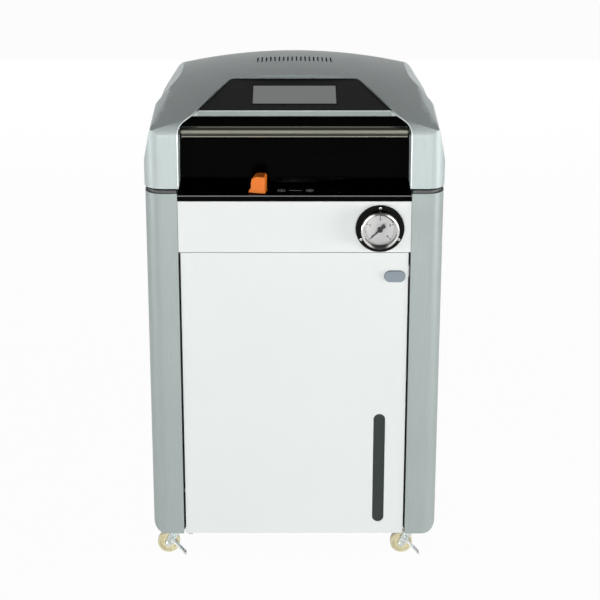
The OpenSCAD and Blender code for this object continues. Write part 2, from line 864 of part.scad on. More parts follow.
// The lid's outer form, t inside its faces and down to the height low
module lid_form(t, low) difference() {
  intersection() {
    crown(t);
    along_x(-lid_half_w, lid_half_w)
      rounded(
        [
          [front_y + t, low], [front_y + t, front_edge_z - t],
          [front_y + brow_run, front_edge_z + brow_rise - t], [front_y + 2 * brow_run, lid_top_z],
          [rear_y - nape_run, lid_z + nape_z + nape_rise - t], [rear_y - t, lid_z + nape_z - t],
          [rear_y - t, low]
        ],
        [0, brow_r - t, 0, 0, 0, nape_r - t, 0]
      );
    along_y(front_y, rear_y)
      rounded(
        [
          [-lid_half_w + t, low], [-lid_half_w + t, lid_z + side_lean_z],
          [-lid_half_w + side_lean + t, lid_z + edge_z],
          [-lid_half_w + side_lean + edge_run, lid_z + edge_z + edge_rise - t], [0, lid_top_z],
          [lid_half_w - side_lean - edge_run, lid_z + edge_z + edge_rise - t],
          [lid_half_w - side_lean - t, lid_z + edge_z], [lid_half_w - t, lid_z + side_lean_z],
          [lid_half_w - t, low]
        ],
        [0, lean_r, edge_r, 0, 0, 0, edge_r, lean_r, 0]
      );
    translate([0, 0, low])
      linear_extrude(lid_top_z - low)
        rounded(
          [
            [-lid_half_w + t, front_y + t], [lid_half_w - t, front_y + t],
            [lid_half_w - t, rear_y - t], [-lid_half_w + t, rear_y - t]
          ],
          [column_r - t, column_r - t, plan_rear_r - t, plan_rear_r - t]
        );
  }
  mirrored() scoop(t);
}

mouth_x = lid_half_w - cheek_w;
mouth_y = front_y + mouth_d;
mouth_r = 18;
console_h = 115;
console_z = lid_z + console_h;
mouth_bend_drop = 14;
mouth_bend_z = console_z - mouth_bend_drop;
cover_lean = 24;

// Outline of the open front, grown by g
module mouth_outline(g, low) rounded(
  [
    [-mouth_x - g, low], [mouth_x + g, low], [mouth_x + g, mouth_bend_z],
    [console_front_w + g, console_z + g / 2], [console_front_w + g, lid_top_z + over],
    [-console_front_w - g, lid_top_z + over], [-console_front_w - g, console_z + g / 2],
    [-mouth_x - g, mouth_bend_z]
  ],
  [0, 0, mouth_r, 0, 0, 0, 0, mouth_r]
);

module mouth(g, back) along_y(front_y - over, mouth_y + back) mouth_outline(g, lid_z - 2 * over);

console_t = 3;
console_corner_r = 12;

// The control panel's tilted frame: x across, y up the slope, z out of the panel
module at_console() translate([0, mouth_y, console_z]) rotate([console_tilt, 0, 0]) children();

module console_outline(g) rounded(
  [
    [-console_front_w - g, -g], [console_front_w + g, -g],
    [console_rear_w + g, console_len + g], [-console_rear_w - g, console_len + g]
  ],
  [0, 0, console_corner_r, console_corner_r]
);

vent_share = 0.26;
lid_vent_y0 = -6;
lid_vent_y1 = 44;
lid_vent_w = 2.4;
lid_vent_drop = 30;
lid_vent_z = lid_z + lid_h - lid_vent_drop;

module lid_shell() color(silver) difference() {
  lid_form(0, lid_z);
  mouth(0, 0);
  intersection() {
    mouth(0, cover_lean + over);
    block([-mouth_x, front_y, lid_z - over], [mouth_x, mouth_y + cover_lean + over, console_z - strip_h]);
  }
  at_console() translate([0, 0, -console_t]) linear_extrude(lid_above) console_outline(seat);
  difference() {
    lid_form(lid_t, lid_z - over);
    mouth(lid_t, cover_lean);
    at_console() translate([0, 0, -console_t - lid_t]) linear_extrude(lid_above) console_outline(lid_t);
    block(
      [-console_front_w - lid_t, mouth_y - over, console_z - strip_h],
      [console_front_w + lid_t, mouth_y + lid_t, console_z + lid_above]
    );
  }
  for (side = [-1, 1])
    block(
      [side * hinge_x - knuckle_w / 4 - slip, rear_y - lid_t - over, frame_z - slip],
      [side * hinge_x + knuckle_w / 4 + slip, rear_y + over, frame_z + frame_t + slip]
    );
  for (i = [0:vent_count - 1])
    let (x = (i - (vent_count - 1) / 2) * lid_w * vent_share / (vent_count - 1))
      block([x - lid_vent_w / 2, lid_vent_y0, lid_vent_z], [x + lid_vent_w / 2, lid_vent_y1, lid_top_z]);
}

cover_t = 3;
cover_bend_h = 36;
cover_low = lid_z + 2 * over;
cover_bend_z = lid_z + cover_bend_h;
cover_high = console_z - strip_h - slip;

module lid_front_cover() color(black) intersection() {
  along_y(mouth_y, mouth_y + cover_lean) mouth_outline(-slip, cover_low);
  along_x(-mouth_x, mouth_x)
    polygon([
      [mouth_y, cover_low], [mouth_y, cover_bend_z], [mouth_y + cover_lean - cover_t, cover_high],
      [mouth_y + cover_lean, cover_high], [mouth_y + cover_t, cover_bend_z], [mouth_y + cover_t, cover_low]
    ]);
}

screen_w = 134;
screen_h = 76;
screen_y = 30;
screen_t = 1;

module screen_outline(g) translate([-screen_w / 2 - g, screen_y - g])
  square([screen_w + 2 * g, screen_h + 2 * g]);

module control_panel() color(black) at_console() difference() {
  translate([0, 0, -console_t]) linear_extrude(console_t - seat) intersection() {
    console_outline(-seat);
    translate([-lid_half_w, seat]) square([lid_w, console_len]);
  }
  translate([0, 0, -screen_t - seat]) linear_extrude(console_t) screen_outline(seat);
}

module touch_screen() color("#7b8180") at_console()
  translate([0, 0, -screen_t - seat]) linear_extrude(screen_t) screen_outline(0);

bar_inset = 28;
bar_h = 85;
bar_neck = 5;
bar_y = front_y + bar_inset;
bar_z = lid_z + bar_h;
bar_half = mouth_x - bar_neck;

module grab_bar() color(steel) translate([0, bar_y, bar_z]) {
  disc_x(bar_d / 2, -bar_half, bar_half);
  disc_x(bar_d / 6, -mouth_x + 2 * seat, mouth_x - 2 * seat);
}

// Inner parts of the lid
base_cover_t = 2.5;
base_cover_z = lid_z + over;
boss_r = 34;
frame_h = 29;
frame_z = lid_z + frame_h;
frame_t = 4;
frame_inset = 40;
frame_half = lid_half_w - frame_inset;
frame_front_y = mouth_y + cover_lean + seat;
frame_rib_w = 6;
base_hole_r = lug_r + clear_r;

module lid_base_cover() color(black) difference() {
  translate([0, 0, base_cover_z])
    linear_extrude(base_cover_t)
      rounded(
        [
          [-lid_half_w + lid_t + seat, front_y + lid_t + seat],
          [lid_half_w - lid_t - seat, front_y + lid_t + seat],
          [lid_half_w - lid_t - seat, rear_y - lid_t - seat],
          [-lid_half_w + lid_t + seat, rear_y - lid_t - seat]
        ],
        [column_r, column_r, plan_rear_r, plan_rear_r]
      );
  block(
    [-mouth_x - lid_t - seat, front_y - over, base_cover_z - over],
    [mouth_x + lid_t + seat, mouth_y + cover_t + seat, base_cover_z + base_cover_t + over]
  );
  mirrored()
    block(
      [mouth_x - seat, front_y, base_cover_z - over],
      [mouth_x + lid_t + seat, mouth_y + cover_lean + seat, base_cover_z + base_cover_t + over]
    );
  at_chamber(base_cover_z - over) cylinder(r = base_hole_r, h = base_cover_t + 2 * over, $fn = 180);
}

module lid_frame() color(dark_steel) {
  difference() {
    block([-frame_half, frame_front_y, frame_z], [frame_half, rear_y - lid_t - seat, frame_z + frame_t]);
    at_chamber(frame_z - over) cylinder(r = boss_r - 2 * frame_rib_w, h = frame_t + 2 * over);
  }
  mirrored()
    block(
      [frame_half - frame_rib_w, frame_front_y, base_cover_z + base_cover_t],
      [frame_half, rear_y - lid_t - seat, frame_z + frame_t]
    );
  for (side = [-1, 1])
    knuckle(side * hinge_x - knuckle_w / 2, side * hinge_x + knuckle_w / 2, 1);
  for (side = [-1, 1])
    block(
      [side * hinge_x - knuckle_w / 4, rear_y - 2 * lid_t, frame_z],
      [side * hinge_x + knuckle_w / 4, rear_y + leaf_t, frame_z + frame_t]
    );
}

dome_r = 420;
dome_h = 40;
gasket_w = 6;
gasket_t = 4;
gasket_r = chamber_r + gasket_w + over;

// One sector for each claw, or for each lug when shifted by half a pitch
module sectors(shift, r0, r1, a, h) for (i = [0:claw_count - 1])
  let (middle = (i + shift) * 360 / claw_count + lever_start + 90)
    sector(r0, r1, middle - a / 2, middle + a / 2, h);

module pressure_lid() color(steel) at_chamber(disc_z) {
  difference() {
    union() {
      cylinder(r = disc_r, h = lug_h, $fn = 180);
      intersection() {
        translate([0, 0, dome_h - dome_r]) sphere(r = dome_r, $fn = 180);
        translate([0, 0, over]) cylinder(r = chamber_r, h = dome_h, $fn = 180);
      }
      translate([0, 0, over]) cylinder(r = boss_r, h = frame_z - disc_z - over);
    }
    translate([0, 0, -over])
      rotate_extrude($fn = 180) translate([gasket_r - gasket_w, 0]) square([gasket_w, gasket_t + over]);
  }
  sectors(0.5, disc_r + seat, lug_r, lug_angle, lug_h);
}

module lid_gasket() color("#8a3b34") at_chamber(disc_z - gasket_gap + slip) rotate_extrude($fn = 180)
  translate([gasket_r - gasket_w + seat, 0]) square([gasket_w - 2 * seat, gasket_t + gasket_gap - 2 * slip]);

// Lock ring
arm_w = 20;
arm_t = 8;
arm_z = flange_top - arm_t;
arm_tip_r = lever_r + 5;
stem_r = 4;
lever_z = deck_h + over;

module at_lever() at_chamber() rotate([0, 0, lever_start]) children();

// The turning ring lies below the lugs; each claw is bolted on it over a spacer block
module lock_ring() color(steel) at_chamber() {
  difference() {
    translate([0, 0, retainer_top]) cylinder(r = ring_outer_r, h = flange_top - retainer_top, $fn = 180);
    translate([0, 0, retainer_top - over])
      cylinder(r = ring_bore_r, h = flange_top - retainer_top + 2 * over, $fn = 180);
  }
  translate([0, 0, flange_top + seat])
    sectors(0, ring_bore_r, ring_outer_r, claw_angle, claw_z - flange_top - 2 * seat);
  translate([0, 0, claw_z]) sectors(0, claw_r, ring_outer_r, claw_angle, claw_h);
}

module ring_retainer() color(steel) at_chamber(retainer_z) difference() {
  cylinder(r = ring_outer_r, h = retainer_t, $fn = 180);
  translate([0, 0, -over]) cylinder(r = chamber_outer_r + clear_r, h = retainer_t + 2 * over, $fn = 180);
}

module lever_arm() color(dark_steel) at_lever() {
  block([ring_outer_r + seat, -arm_w / 2, arm_z], [arm_tip_r, arm_w / 2, arm_z + arm_t]);
  translate([lever_r, 0, arm_z]) cylinder(r = stem_r, h = lever_z + lever_h / 2 - arm_z);
}

module lock_lever() color("#f08a32") at_lever() translate([lever_r, 0, lever_z]) difference() {
  rotate([0, 0, 90])
    along_y(-lever_d / 2, lever_d / 2)
      rounded(
        [
          [-lever_w / 2, 0], [lever_w / 2, 0], [lever_w / 2, lever_h], [-lever_w / 8, lever_h],
          [-lever_w * 3 / 8, lever_h / 3]
        ],
        [0, 0, lever_w / 16, lever_w / 3, 0]
      );
  translate([0, 0, -over]) cylinder(r = stem_r + running, h = lever_h / 2 + over + seat);
}

guide_w = 26;
guide_t = 5;

module ring_guides() color(black) at_chamber() for (a = [45:90:315]) rotate([0, 0, a]) {
  block(
    [chamber_outer_r + seat, -guide_w / 2, jacket_top + seat],
    [ring_outer_r - 2 * sheet_t, guide_w / 2, jacket_top + seat + guide_t]
  );
  block(
    [ring_bore_r, -guide_w / 2, jacket_top + seat],
    [ring_outer_r - 2 * sheet_t, guide_w / 2, retainer_z - slip]
  );
}

// Door
door_x = column_x - door_gap;
door_y = front_y + door_setback;
door_low = skirt_h;
door_top = upper_low - door_top_gap;
door_pin_r = 3;
door_pin_inset = 7.5;
door_pin_x = -door_x + door_pin_inset;
door_pin_y = door_y + door_pin_inset;
hinge_block = 14;
slot_x = door_x - slot_inset;
slot_low = door_low + slot_rise;
button_x = door_x - button_inset;
button_z = door_top - button_drop;

module stadium(w, h) {
  square([w - h, h], center = true);
  for (side = [-1, 1]) translate([side * (w - h) / 2, 0]) circle(r = h / 2);
}

module front_door() color(white) {
  difference() {
    block([-door_x, door_y, door_low], [door_x, door_y + door_d, door_top]);
    block(
      [-door_x + sheet_t, door_y + sheet_t, door_low + sheet_t],
      [door_x - sheet_t, door_y + door_d + over, door_top - sheet_t]
    );
    translate([slot_x, 0, slot_low + slot_len / 2])
      along_y(door_y - over, door_y + sheet_t + over) rotate([0, 0, 90]) stadium(slot_len, slot_w);
    translate([button_x, 0, button_z])
      along_y(door_y - over, door_y + sheet_t + over) stadium(button_w + 2 * slip, button_h + 2 * slip);
    for (z = [door_low, door_top]) door_pin_bore(z);
  }
  difference() {
    for (z = [door_low + sheet_t, door_top - sheet_t - hinge_block])
      translate([-door_x + sheet_t, door_y + sheet_t, z]) cube(hinge_block);
    for (z = [door_low, door_top]) door_pin_bore(z);
  }
}

module door_pin_bore(z) translate([door_pin_x, door_pin_y, z - hinge_block - 2 * sheet_t])
  cylinder(r = door_pin_r + running, h = 2 * hinge_block + 4 * sheet_t);

tab_w = 8;
tab_back = 16;
tab_t = 2.4;
tab_z = door_low - over - tab_t;

module door_hinge_pins() color(dark_steel) {
  translate([door_pin_x, door_pin_y, tab_z]) cylinder(r = door_pin_r, h = hinge_block + tab_t);
  block(
    [door_pin_x - tab_w / 2, door_y + sheet_t, tab_z],
    [door_pin_x + tab_w / 2, pan_front_y + tab_back, tab_z + tab_t]
  );
  block(
    [door_pin_x - tab_w / 2, pan_front_y + tab_back / 2, tab_z],
    [door_pin_x + tab_w / 2, pan_front_y + tab_back, pan_z]
  );
  translate([door_pin_x, door_pin_y, door_top - hinge_block])
    cylinder(r = door_pin_r, h = hinge_block + door_top_gap);
}

module level_window() color([0.3, 0.34, 0.33, 0.6]) translate([slot_x, 0, slot_low + slot_len / 2])
  along_y(door_y + sheet_t + seat, door_y + 2 * sheet_t + seat)
    square([slot_w + 8 * sheet_t, slot_len + 8 * sheet_t], center = true);

button_out = 3;
button_len = 14;
latch_wall = 2.3;

module push_button() color("#7f8890") translate([button_x, 0, button_z])
  along_y(door_y - button_out, door_y - button_out + button_len) stadium(button_w, button_h);

module door_latch() color(black) translate([button_x, 0, button_z]) difference() {
  block(
    [-button_w / 2 - latch_wall, door_y + sheet_t, -button_h],
    [button_w / 2 + latch_wall, door_y + door_d, button_h]
  );
  along_y(door_y, door_y - button_out + button_len + button_travel + 2 * slip)
    stadium(button_w + 2 * slip, button_h + 2 * slip);
}

keeper_t = 3;

module latch_keeper() color(steel) {
  translate([button_x, 0, button_z])
    block(
      [-button_h / 2, door_y + door_d + slip, -button_h / 2],
      [button_h / 2, pan_front_y + keeper_t, button_h / 2]
    );
  block(
    [button_x, pan_front_y, button_z - button_h / 2],
    [post_x - seat, pan_front_y + keeper_t, button_z + button_h / 2]
  );
}

// Casters
swivel_x = half_w - caster_inset_x;
swivel_y = cabinet_d / 2 - caster_inset_y;
caster_plate_t = 3;
caster_plate_w = 28;
swivel_pin_r = 5;
wheel_r = wheel_d / 2;
fork_t = 2;
fork_gap = 1;
fork_head_r = 15;
fork_face = wheel_w / 2 + fork_gap + fork_t;
axle_r = 3;
plate_low = pan_z - caster_plate_t - seat;
fork_top = plate_low - slip;

function caster_at(i) = [(i % 2 == 0 ? -1 : 1) * swivel_x, (i < 2 ? -1 : 1) * swivel_y, 0];

module caster_plates() color(steel) for (i = [0:3]) translate(caster_at(i)) {
  translate([-caster_plate_w / 2, -caster_plate_w / 2, plate_low])
    cube([caster_plate_w, caster_plate_w, caster_plate_t]);
  translate([0, 0, fork_top - fork_t - slip - sheet_t])
    cylinder(r = swivel_pin_r, h = plate_low - fork_top + fork_t + slip + sheet_t);
}

module caster_fork() color(steel) {
  difference() {
    translate([0, 0, fork_top - fork_t]) cylinder(r = fork_head_r, h = fork_t);
    translate([0, 0, fork_top - fork_t - over]) cylinder(r = swivel_pin_r + running, h = fork_t + 2 * over);
  }
  for (side = [-1, 1])
    translate([0, side * (fork_face - fork_t / 2), 0])
      along_y(-fork_t / 2, fork_t / 2) polygon([
        [fork_head_r / 2, fork_top - fork_t / 2], [-fork_head_r * 2 / 3, fork_top - fork_t / 2],
        [-caster_trail - 2 * axle_r, wheel_r], [-caster_trail - axle_r, wheel_r - 2 * axle_r],
        [-caster_trail + axle_r, wheel_r - 2 * axle_r]
      ]);
  translate([-caster_trail, 0, wheel_r]) disc_y(axle_r, -fork_face - sheet_t, fork_face + sheet_t);
}

module caster_wheel() color("#e6dfb8") translate([-caster_trail, 0, wheel_r]) difference() {
  disc_y(wheel_r, -wheel_w / 2, wheel_w / 2);
  disc_y(axle_r + running, -wheel_w, wheel_w);
}

pedal_len = 34;
pedal_w = 12;
pedal_t = 2;
pedal_pin_r = 2;
pedal_x = -caster_trail / 2;
pedal_z = wheel_r + 11;
pedal_slope = 50;

module brake_pedal() color(steel) translate([pedal_x, 0, pedal_z]) difference() {
  union() {
    disc_y(2 * pedal_pin_r, -fork_face - slip - pedal_w, -fork_face - slip);
    rotate([0, pedal_slope, 0])
      block([0, -fork_face - slip - pedal_w, -pedal_t / 2], [pedal_len, -fork_face - slip, pedal_t / 2]);
  }
  disc_y(pedal_pin_r + running, -fork_face - slip - pedal_w - over, -fork_face);
}

module pedal_pin() translate([pedal_x, 0, pedal_z])
  disc_y(pedal_pin_r, -fork_face - slip - pedal_w - sheet_t, -fork_face + fork_t / 2);

module braked_fork() color(steel) {
  caster_fork();
  pedal_pin();
}

module caster_fork_front_left() translate(caster_at(0)) braked_fork();
module caster_fork_front_right() translate(caster_at(1)) braked_fork();
module caster_fork_rear_left() translate(caster_at(2)) caster_fork();
module caster_fork_rear_right() translate(caster_at(3)) caster_fork();
module caster_wheel_front_left() translate(caster_at(0)) caster_wheel();
module caster_wheel_front_right() translate(caster_at(1)) caster_wheel();
module caster_wheel_rear_left() translate(caster_at(2)) caster_wheel();
module caster_wheel_rear_right() translate(caster_at(3)) caster_wheel();
module brake_pedal_left() translate(caster_at(0)) brake_pedal();
module brake_pedal_right() translate(caster_at(1)) brake_pedal();

base_frame();
side_panel_left();
side_panel_right();
rear_panel();
top_deck();
front_upper_panel();
gauge_case();
gauge_bezel();
gauge_dial();
gauge_glass();
gauge_needle();
chamber();
chamber_jacket();
heater_element();
chamber_rack();
wire_basket();
drain_valve();
drain_lever();
drain_pipe();
exhaust_bottle();
exhaust_bottle_cap();
exhaust_pipe();
safety_valve();
control_box();
fan_frame();
fan_rotor();
cord_gland();
hinge_brackets();
hinge_pin();
lid_shell();
lid_front_cover();
control_panel();
touch_screen();
grab_bar();
lid_frame();
pressure_lid();
lid_gasket();
lid_base_cover();
lock_ring();
ring_retainer();
lever_arm();
lock_lever();
ring_guides();
front_door();
door_hinge_pins();
level_window();
push_button();
door_latch();
latch_keeper();
caster_plates();
caster_fork_front_left();
caster_fork_front_right();
caster_fork_rear_left();
caster_fork_rear_right();
caster_wheel_front_left();
caster_wheel_front_right();
caster_wheel_rear_left();
caster_wheel_rear_right();
brake_pedal_left();
brake_pedal_right();
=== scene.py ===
# %% [markdown]
# # Dressing a vertical autoclave
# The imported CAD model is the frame: it has the right sizes and joints. This lesson gives each node
# a procedural material, and adds the edges, marks and small fasteners that a plain solid lacks.

# %% Load the frame
import json
import math

import bmesh
import bpy
from mathutils import Matrix, Vector
from mathutils.bvhtree import BVHTree

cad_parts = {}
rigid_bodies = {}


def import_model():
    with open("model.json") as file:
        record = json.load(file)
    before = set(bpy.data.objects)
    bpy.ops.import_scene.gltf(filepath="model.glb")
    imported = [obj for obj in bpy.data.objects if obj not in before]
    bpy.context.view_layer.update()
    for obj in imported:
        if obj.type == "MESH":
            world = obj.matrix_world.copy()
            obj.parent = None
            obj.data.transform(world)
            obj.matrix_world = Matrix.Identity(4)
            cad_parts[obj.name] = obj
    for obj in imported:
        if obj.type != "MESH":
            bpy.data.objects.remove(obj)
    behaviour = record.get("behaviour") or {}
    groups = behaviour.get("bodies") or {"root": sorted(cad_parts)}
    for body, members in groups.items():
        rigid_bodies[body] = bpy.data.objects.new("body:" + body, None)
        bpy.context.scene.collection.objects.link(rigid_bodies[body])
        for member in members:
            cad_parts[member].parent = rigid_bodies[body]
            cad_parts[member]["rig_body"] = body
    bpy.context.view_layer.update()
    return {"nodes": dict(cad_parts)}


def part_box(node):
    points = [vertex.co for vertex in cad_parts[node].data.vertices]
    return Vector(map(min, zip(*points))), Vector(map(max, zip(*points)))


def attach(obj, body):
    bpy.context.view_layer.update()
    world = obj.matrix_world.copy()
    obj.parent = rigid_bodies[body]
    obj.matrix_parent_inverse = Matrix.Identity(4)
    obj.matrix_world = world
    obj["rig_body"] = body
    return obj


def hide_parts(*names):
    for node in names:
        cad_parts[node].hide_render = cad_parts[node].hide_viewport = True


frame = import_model()
nodes = frame["nodes"]

# %% [markdown]
# ## Units
# Blender works in metres and a maker thinks in millimetres, so one constant and two short functions
# turn one into the other.

# %% Units
MM = 0.001


def mm(x, y, z):
    """A point given in millimetres."""
    return Vector((x * MM, y * MM, z * MM))


def low_high(node):
    """A node's corners in millimetres."""
    low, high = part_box(node)
    return low / MM, high / MM


# %% [markdown]
# ## Camera
# The portrait is taken from a little above and straight in front, through a long lens, so that the
# top deck and the lid's crown both show. The lens is worked out from a picture 600 pixels wide.

# %% Camera
PICTURE, FOCAL_PIXELS, SENSOR = 600, 1980.9, 36.0
EYE, TILT = (-0.0039, -3.300, 1.6187), 20.92
lens = bpy.data.cameras.new("portrait_lens")
lens.sensor_width = SENSOR
lens.lens = FOCAL_PIXELS * SENSOR / PICTURE
lens.shift_x, lens.shift_y = 0.0132, 0.0004
lens.clip_end = 60
camera = bpy.data.objects.new("portrait_camera", lens)
bpy.context.scene.collection.objects.link(camera)
camera.location = EYE
camera.rotation_euler = (math.radians(90 - TILT), 0, 0)
bpy.context.scene.camera = camera
bpy.context.scene.view_settings.view_transform = "Standard"
print("lens:", round(lens.lens, 1), "mm")

# %% [markdown]
# ## Writing shader maths as sums
# A network of Math nodes is hard to read. The first class wraps a socket, so that
# `0.3 + mask * 0.2` adds the nodes by itself. Every other node comes from one method, `node`. The
# scale of a noise or of a cell pattern is how many of its features fit in a metre.


# %% Shader helpers
class Wire:
    """A socket that takes part in sums."""

    def __init__(self, network, socket):
        self.network = network
        self.socket = socket

    def math(self, operation, first, second):
        return self.network.node("ShaderNodeMath", {"operation": operation}, {0: first, 1: second})

    def __add__(self, other):
        return self.math("ADD", self, other)

    def __radd__(self, other):
        return self.math("ADD", other, self)

    def __sub__(self, other):
        return self.math("SUBTRACT", self, other)

    def __mul__(self, other):
        return self.math("MULTIPLY", self, other)

    def __truediv__(self, other):
        return self.math("DIVIDE", self, other)


class Network:
    """The node tree of a material or of the world."""

    def __init__(self, tree):
        self.tree = tree

    def node(self, kind, settings=None, sockets=None, out=0):
        """Any node, with its settings and with values or links at its sockets."""
        made = self.tree.nodes.new(kind)
        for key, value in (settings or {}).items():
            setattr(made, key, value)
        for key, value in (sockets or {}).items():
            if isinstance(value, Wire):
                self.tree.links.new(value.socket, made.inputs[key])
            else:
                made.inputs[key].default_value = value
        return Wire(self, made.outputs[out])

    def seen(self):
        """1 where the camera, a mirror or glass looks, 0 for all other light."""
        camera_ray = self.node("ShaderNodeLightPath", out="Is Camera Ray")
        glossy, through = (Wire(self, camera_ray.socket.node.outputs[key])
                           for key in ("Is Glossy Ray", "Is Transmission Ray"))
        return camera_ray.math("MINIMUM", camera_ray + glossy + through, 1.0)


class Finish(Network):
    """A material: its Principled shader, and what feeds it."""

    def __init__(self, name, color, **uniform):
        self.material = bpy.data.materials.new(name)
        self.material.use_nodes = True
        super().__init__(self.material.node_tree)
        self.shader = self.tree.nodes["Principled BSDF"]
        self.shader.inputs["Base Color"].default_value = (*color, 1.0)
        for key, value in uniform.items():
            self.shader.inputs[key.replace("_", " ")].default_value = value

    def place(self, stretch=(1, 1, 1)):
        """The point on the piece, in metres, squeezed or stretched along the axes."""
        here = self.node("ShaderNodeTexCoord", out="Object")
        return self.node("ShaderNodeMapping", {}, {"Vector": here, "Scale": stretch})

    def noise(self, scale, detail, stretch=(1, 1, 1)):
        """Clouds or, when stretched, lines."""
        return self.node("ShaderNodeTexNoise", {},
                         {"Vector": self.place(stretch), "Scale": scale, "Detail": detail})

    def cells(self, scale, out="Distance"):
        """Cells: the distance to a cell's middle, or a chance colour per cell."""
        return self.node("ShaderNodeTexVoronoi", {}, {"Vector": self.place(), "Scale": scale}, out)

    def ramp(self, value, low, high):
        """0 below low, 1 above high, and a smooth rise between them."""
        return self.node(
            "ShaderNodeMapRange", {"interpolation_type": "SMOOTHSTEP"},
            {"Value": value, "From Min": low, "From Max": high})

    def tint(self, factor, first, second):
        """A colour between two colours, which the node has at sockets 6, 7 and 2."""
        first, second = (c if isinstance(c, Wire) else (*c, 1.0) for c in (first, second))
        return self.node("ShaderNodeMix", {"data_type": "RGBA"}, {0: factor, 6: first, 7: second}, 2)

    def feed(self, socket, wire):
        """Let a wire drive one socket of the shader."""
        self.tree.links.new(wire.socket, self.shader.inputs[socket])
        return self

    def bump(self, height, strength, depth_mm):
        """Small relief: height is 0 to 1, and depth is how deep that goes."""
        sockets = {"Height": height, "Strength": strength, "Distance": depth_mm * MM}
        return self.feed("Normal", self.node("ShaderNodeBump", {}, sockets))


def toned(color, share):
    """The same colour, darker below a share of 1 and lighter above it."""
    return tuple(c * share for c in color)


print("shader helpers ready")

# %% [markdown]
# ## Metallic paint
# The cabinet's columns and the lid are sprayed with a fine metallic paint. Close up it has tiny
# flakes that differ a little in lightness, a faint orange peel, cloudy places where the coat is
# thicker, and upright lines that the brushed sheet below it leaves. One function makes both shades
# and the strip above the lid's mouth.


# %% Metallic paint
FLAKES, PEEL, CLOUDS, DRAWN, DRAWN_STRETCH = 2600, 620, 9, 420, (1, 1, 0.04)


def metallic_paint(name, color, metal, rough):
    """Flakes, clouds and drawn lines in one coat."""
    f = Finish(name, color, Metallic=metal, Specular_IOR_Level=0.12)
    grey = f.node("ShaderNodeSeparateColor", {}, {0: f.cells(FLAKES, "Color")})
    clouds = f.noise(CLOUDS, 4)
    drawn = f.noise(DRAWN, 3, DRAWN_STRETCH)
    lightness = grey * 0.20 + clouds * 0.25 + drawn * 0.55
    f.feed("Base Color", f.tint(lightness, toned(color, 0.86), toned(color, 1.14)))
    f.feed("Roughness", rough - 0.06 + clouds * 0.10 + grey * 0.04)
    return f.bump(f.noise(PEEL, 2) * 0.6 + grey * 0.2 + drawn * 0.2, 0.10, 0.12)


silver = metallic_paint("silver_metallic_paint", (0.375, 0.425, 0.415), 0.15, 0.42)
lid_silver = metallic_paint("lid_metallic_paint", (0.500, 0.565, 0.560), 0.12, 0.40)
anodised = metallic_paint("strip_anodised", (0.30, 0.345, 0.32), 0.15, 0.38)
print(silver.material.name, lid_silver.material.name, anodised.material.name)

# %% [markdown]
# ## Powder coat
# The front panels are white powder coat: smooth, slightly cool, with a fine pebble that only a close
# look shows. The frame and the rear have it in grey. The step on each column has it nearly black,
# which also paints in the shade of the gap under the lid's cheek.


# %% Powder coat
def powder_coat(name, color, rough, pebble):
    """Fused powder: its pebble is given by its depth in millimetres."""
    f = Finish(name, color, Specular_IOR_Level=0.45)
    pebbles = f.noise(1300, 2)
    clouds = f.noise(6, 3)
    f.feed("Base Color", f.tint(clouds * 0.8 + pebbles * 0.2, toned(color, 0.965), color))
    f.feed("Roughness", rough + clouds * 0.08)
    return f.bump(pebbles, 0.12, pebble)


white = powder_coat("white_powder_coat", (0.81, 0.845, 0.83), 0.34, 0.10)
grey_coat = powder_coat("grey_powder_coat", (0.17, 0.18, 0.185), 0.45, 0.16)
step_coat_and_painted_shade = powder_coat("step_powder_coat_and_painted_shade", (0.085, 0.09, 0.09), 0.50, 0.12)
print(white.material.name, grey_coat.material.name)

# %% [markdown]
# ## Black plastics
# The lid's curved front and the top deck are polished black with faint wiping marks. Covers out of
# sight have a leathery grain of half a millimetre. The console and the gauge's flange are a smooth,
# half matt black.

# %% Black plastics
gloss = Finish("polished_black", (0.0014, 0.0014, 0.0013), Specular_IOR_Level=0.02)
wipes = gloss.ramp(gloss.noise(14, 5, (0.25, 1, 1)), 0.42, 0.72)
gloss.feed("Roughness", 0.07 + wipes * 0.09)
gloss.bump(gloss.noise(30, 2), 0.04, 0.2)

grained = Finish("grained_black", (0.012, 0.0125, 0.013), Specular_IOR_Level=0.25)
grain = grained.cells(2200)
grained.feed("Roughness", 0.42 + grain * 0.22)
grained.feed("Base Color", grained.tint(grain, (0.016, 0.017, 0.0175), (0.009, 0.0095, 0.010)))
grained.bump(grain, 0.35, 0.12)

panel_black = Finish("console_black", (0.0090, 0.0095, 0.0085), Specular_IOR_Level=0.01)
panel_black.feed("Roughness", 0.22 + panel_black.noise(18, 4) * 0.14)
panel_black.bump(panel_black.noise(1500, 2), 0.12, 0.05)
print("black:", gloss.material.name, grained.material.name, panel_black.material.name)

# %% [markdown]
# ## Metals
# A brushed surface has fine scratches along one direction: noise that is squeezed across the grain
# and stretched along it, in the roughness and in the relief. A polished tube keeps only a trace of
# them. Zinc plate shows pale crystals a few millimetres wide.


# %% Metals
ALONG_GRAIN = 0.03


def brushed(name, color, rough, grain_axis, spread=0.16, relief=0.05):
    """Bare metal: spread is how far its roughness varies, relief is in millimetres."""
    stretch = tuple(ALONG_GRAIN if axis == grain_axis else 1.0 for axis in "xyz")
    f = Finish(name, color, Metallic=1.0)
    lines = f.noise(1600, 3, stretch)
    clouds = f.noise(12, 3)
    tone = lines * 0.6 + clouds * 0.4
    f.feed("Base Color", f.tint(tone, toned(color, 0.86), toned(color, 1.08)))
    f.feed("Roughness", rough - spread / 2 + lines * spread + clouds * 0.06)
    return f.bump(lines, 0.18, relief)


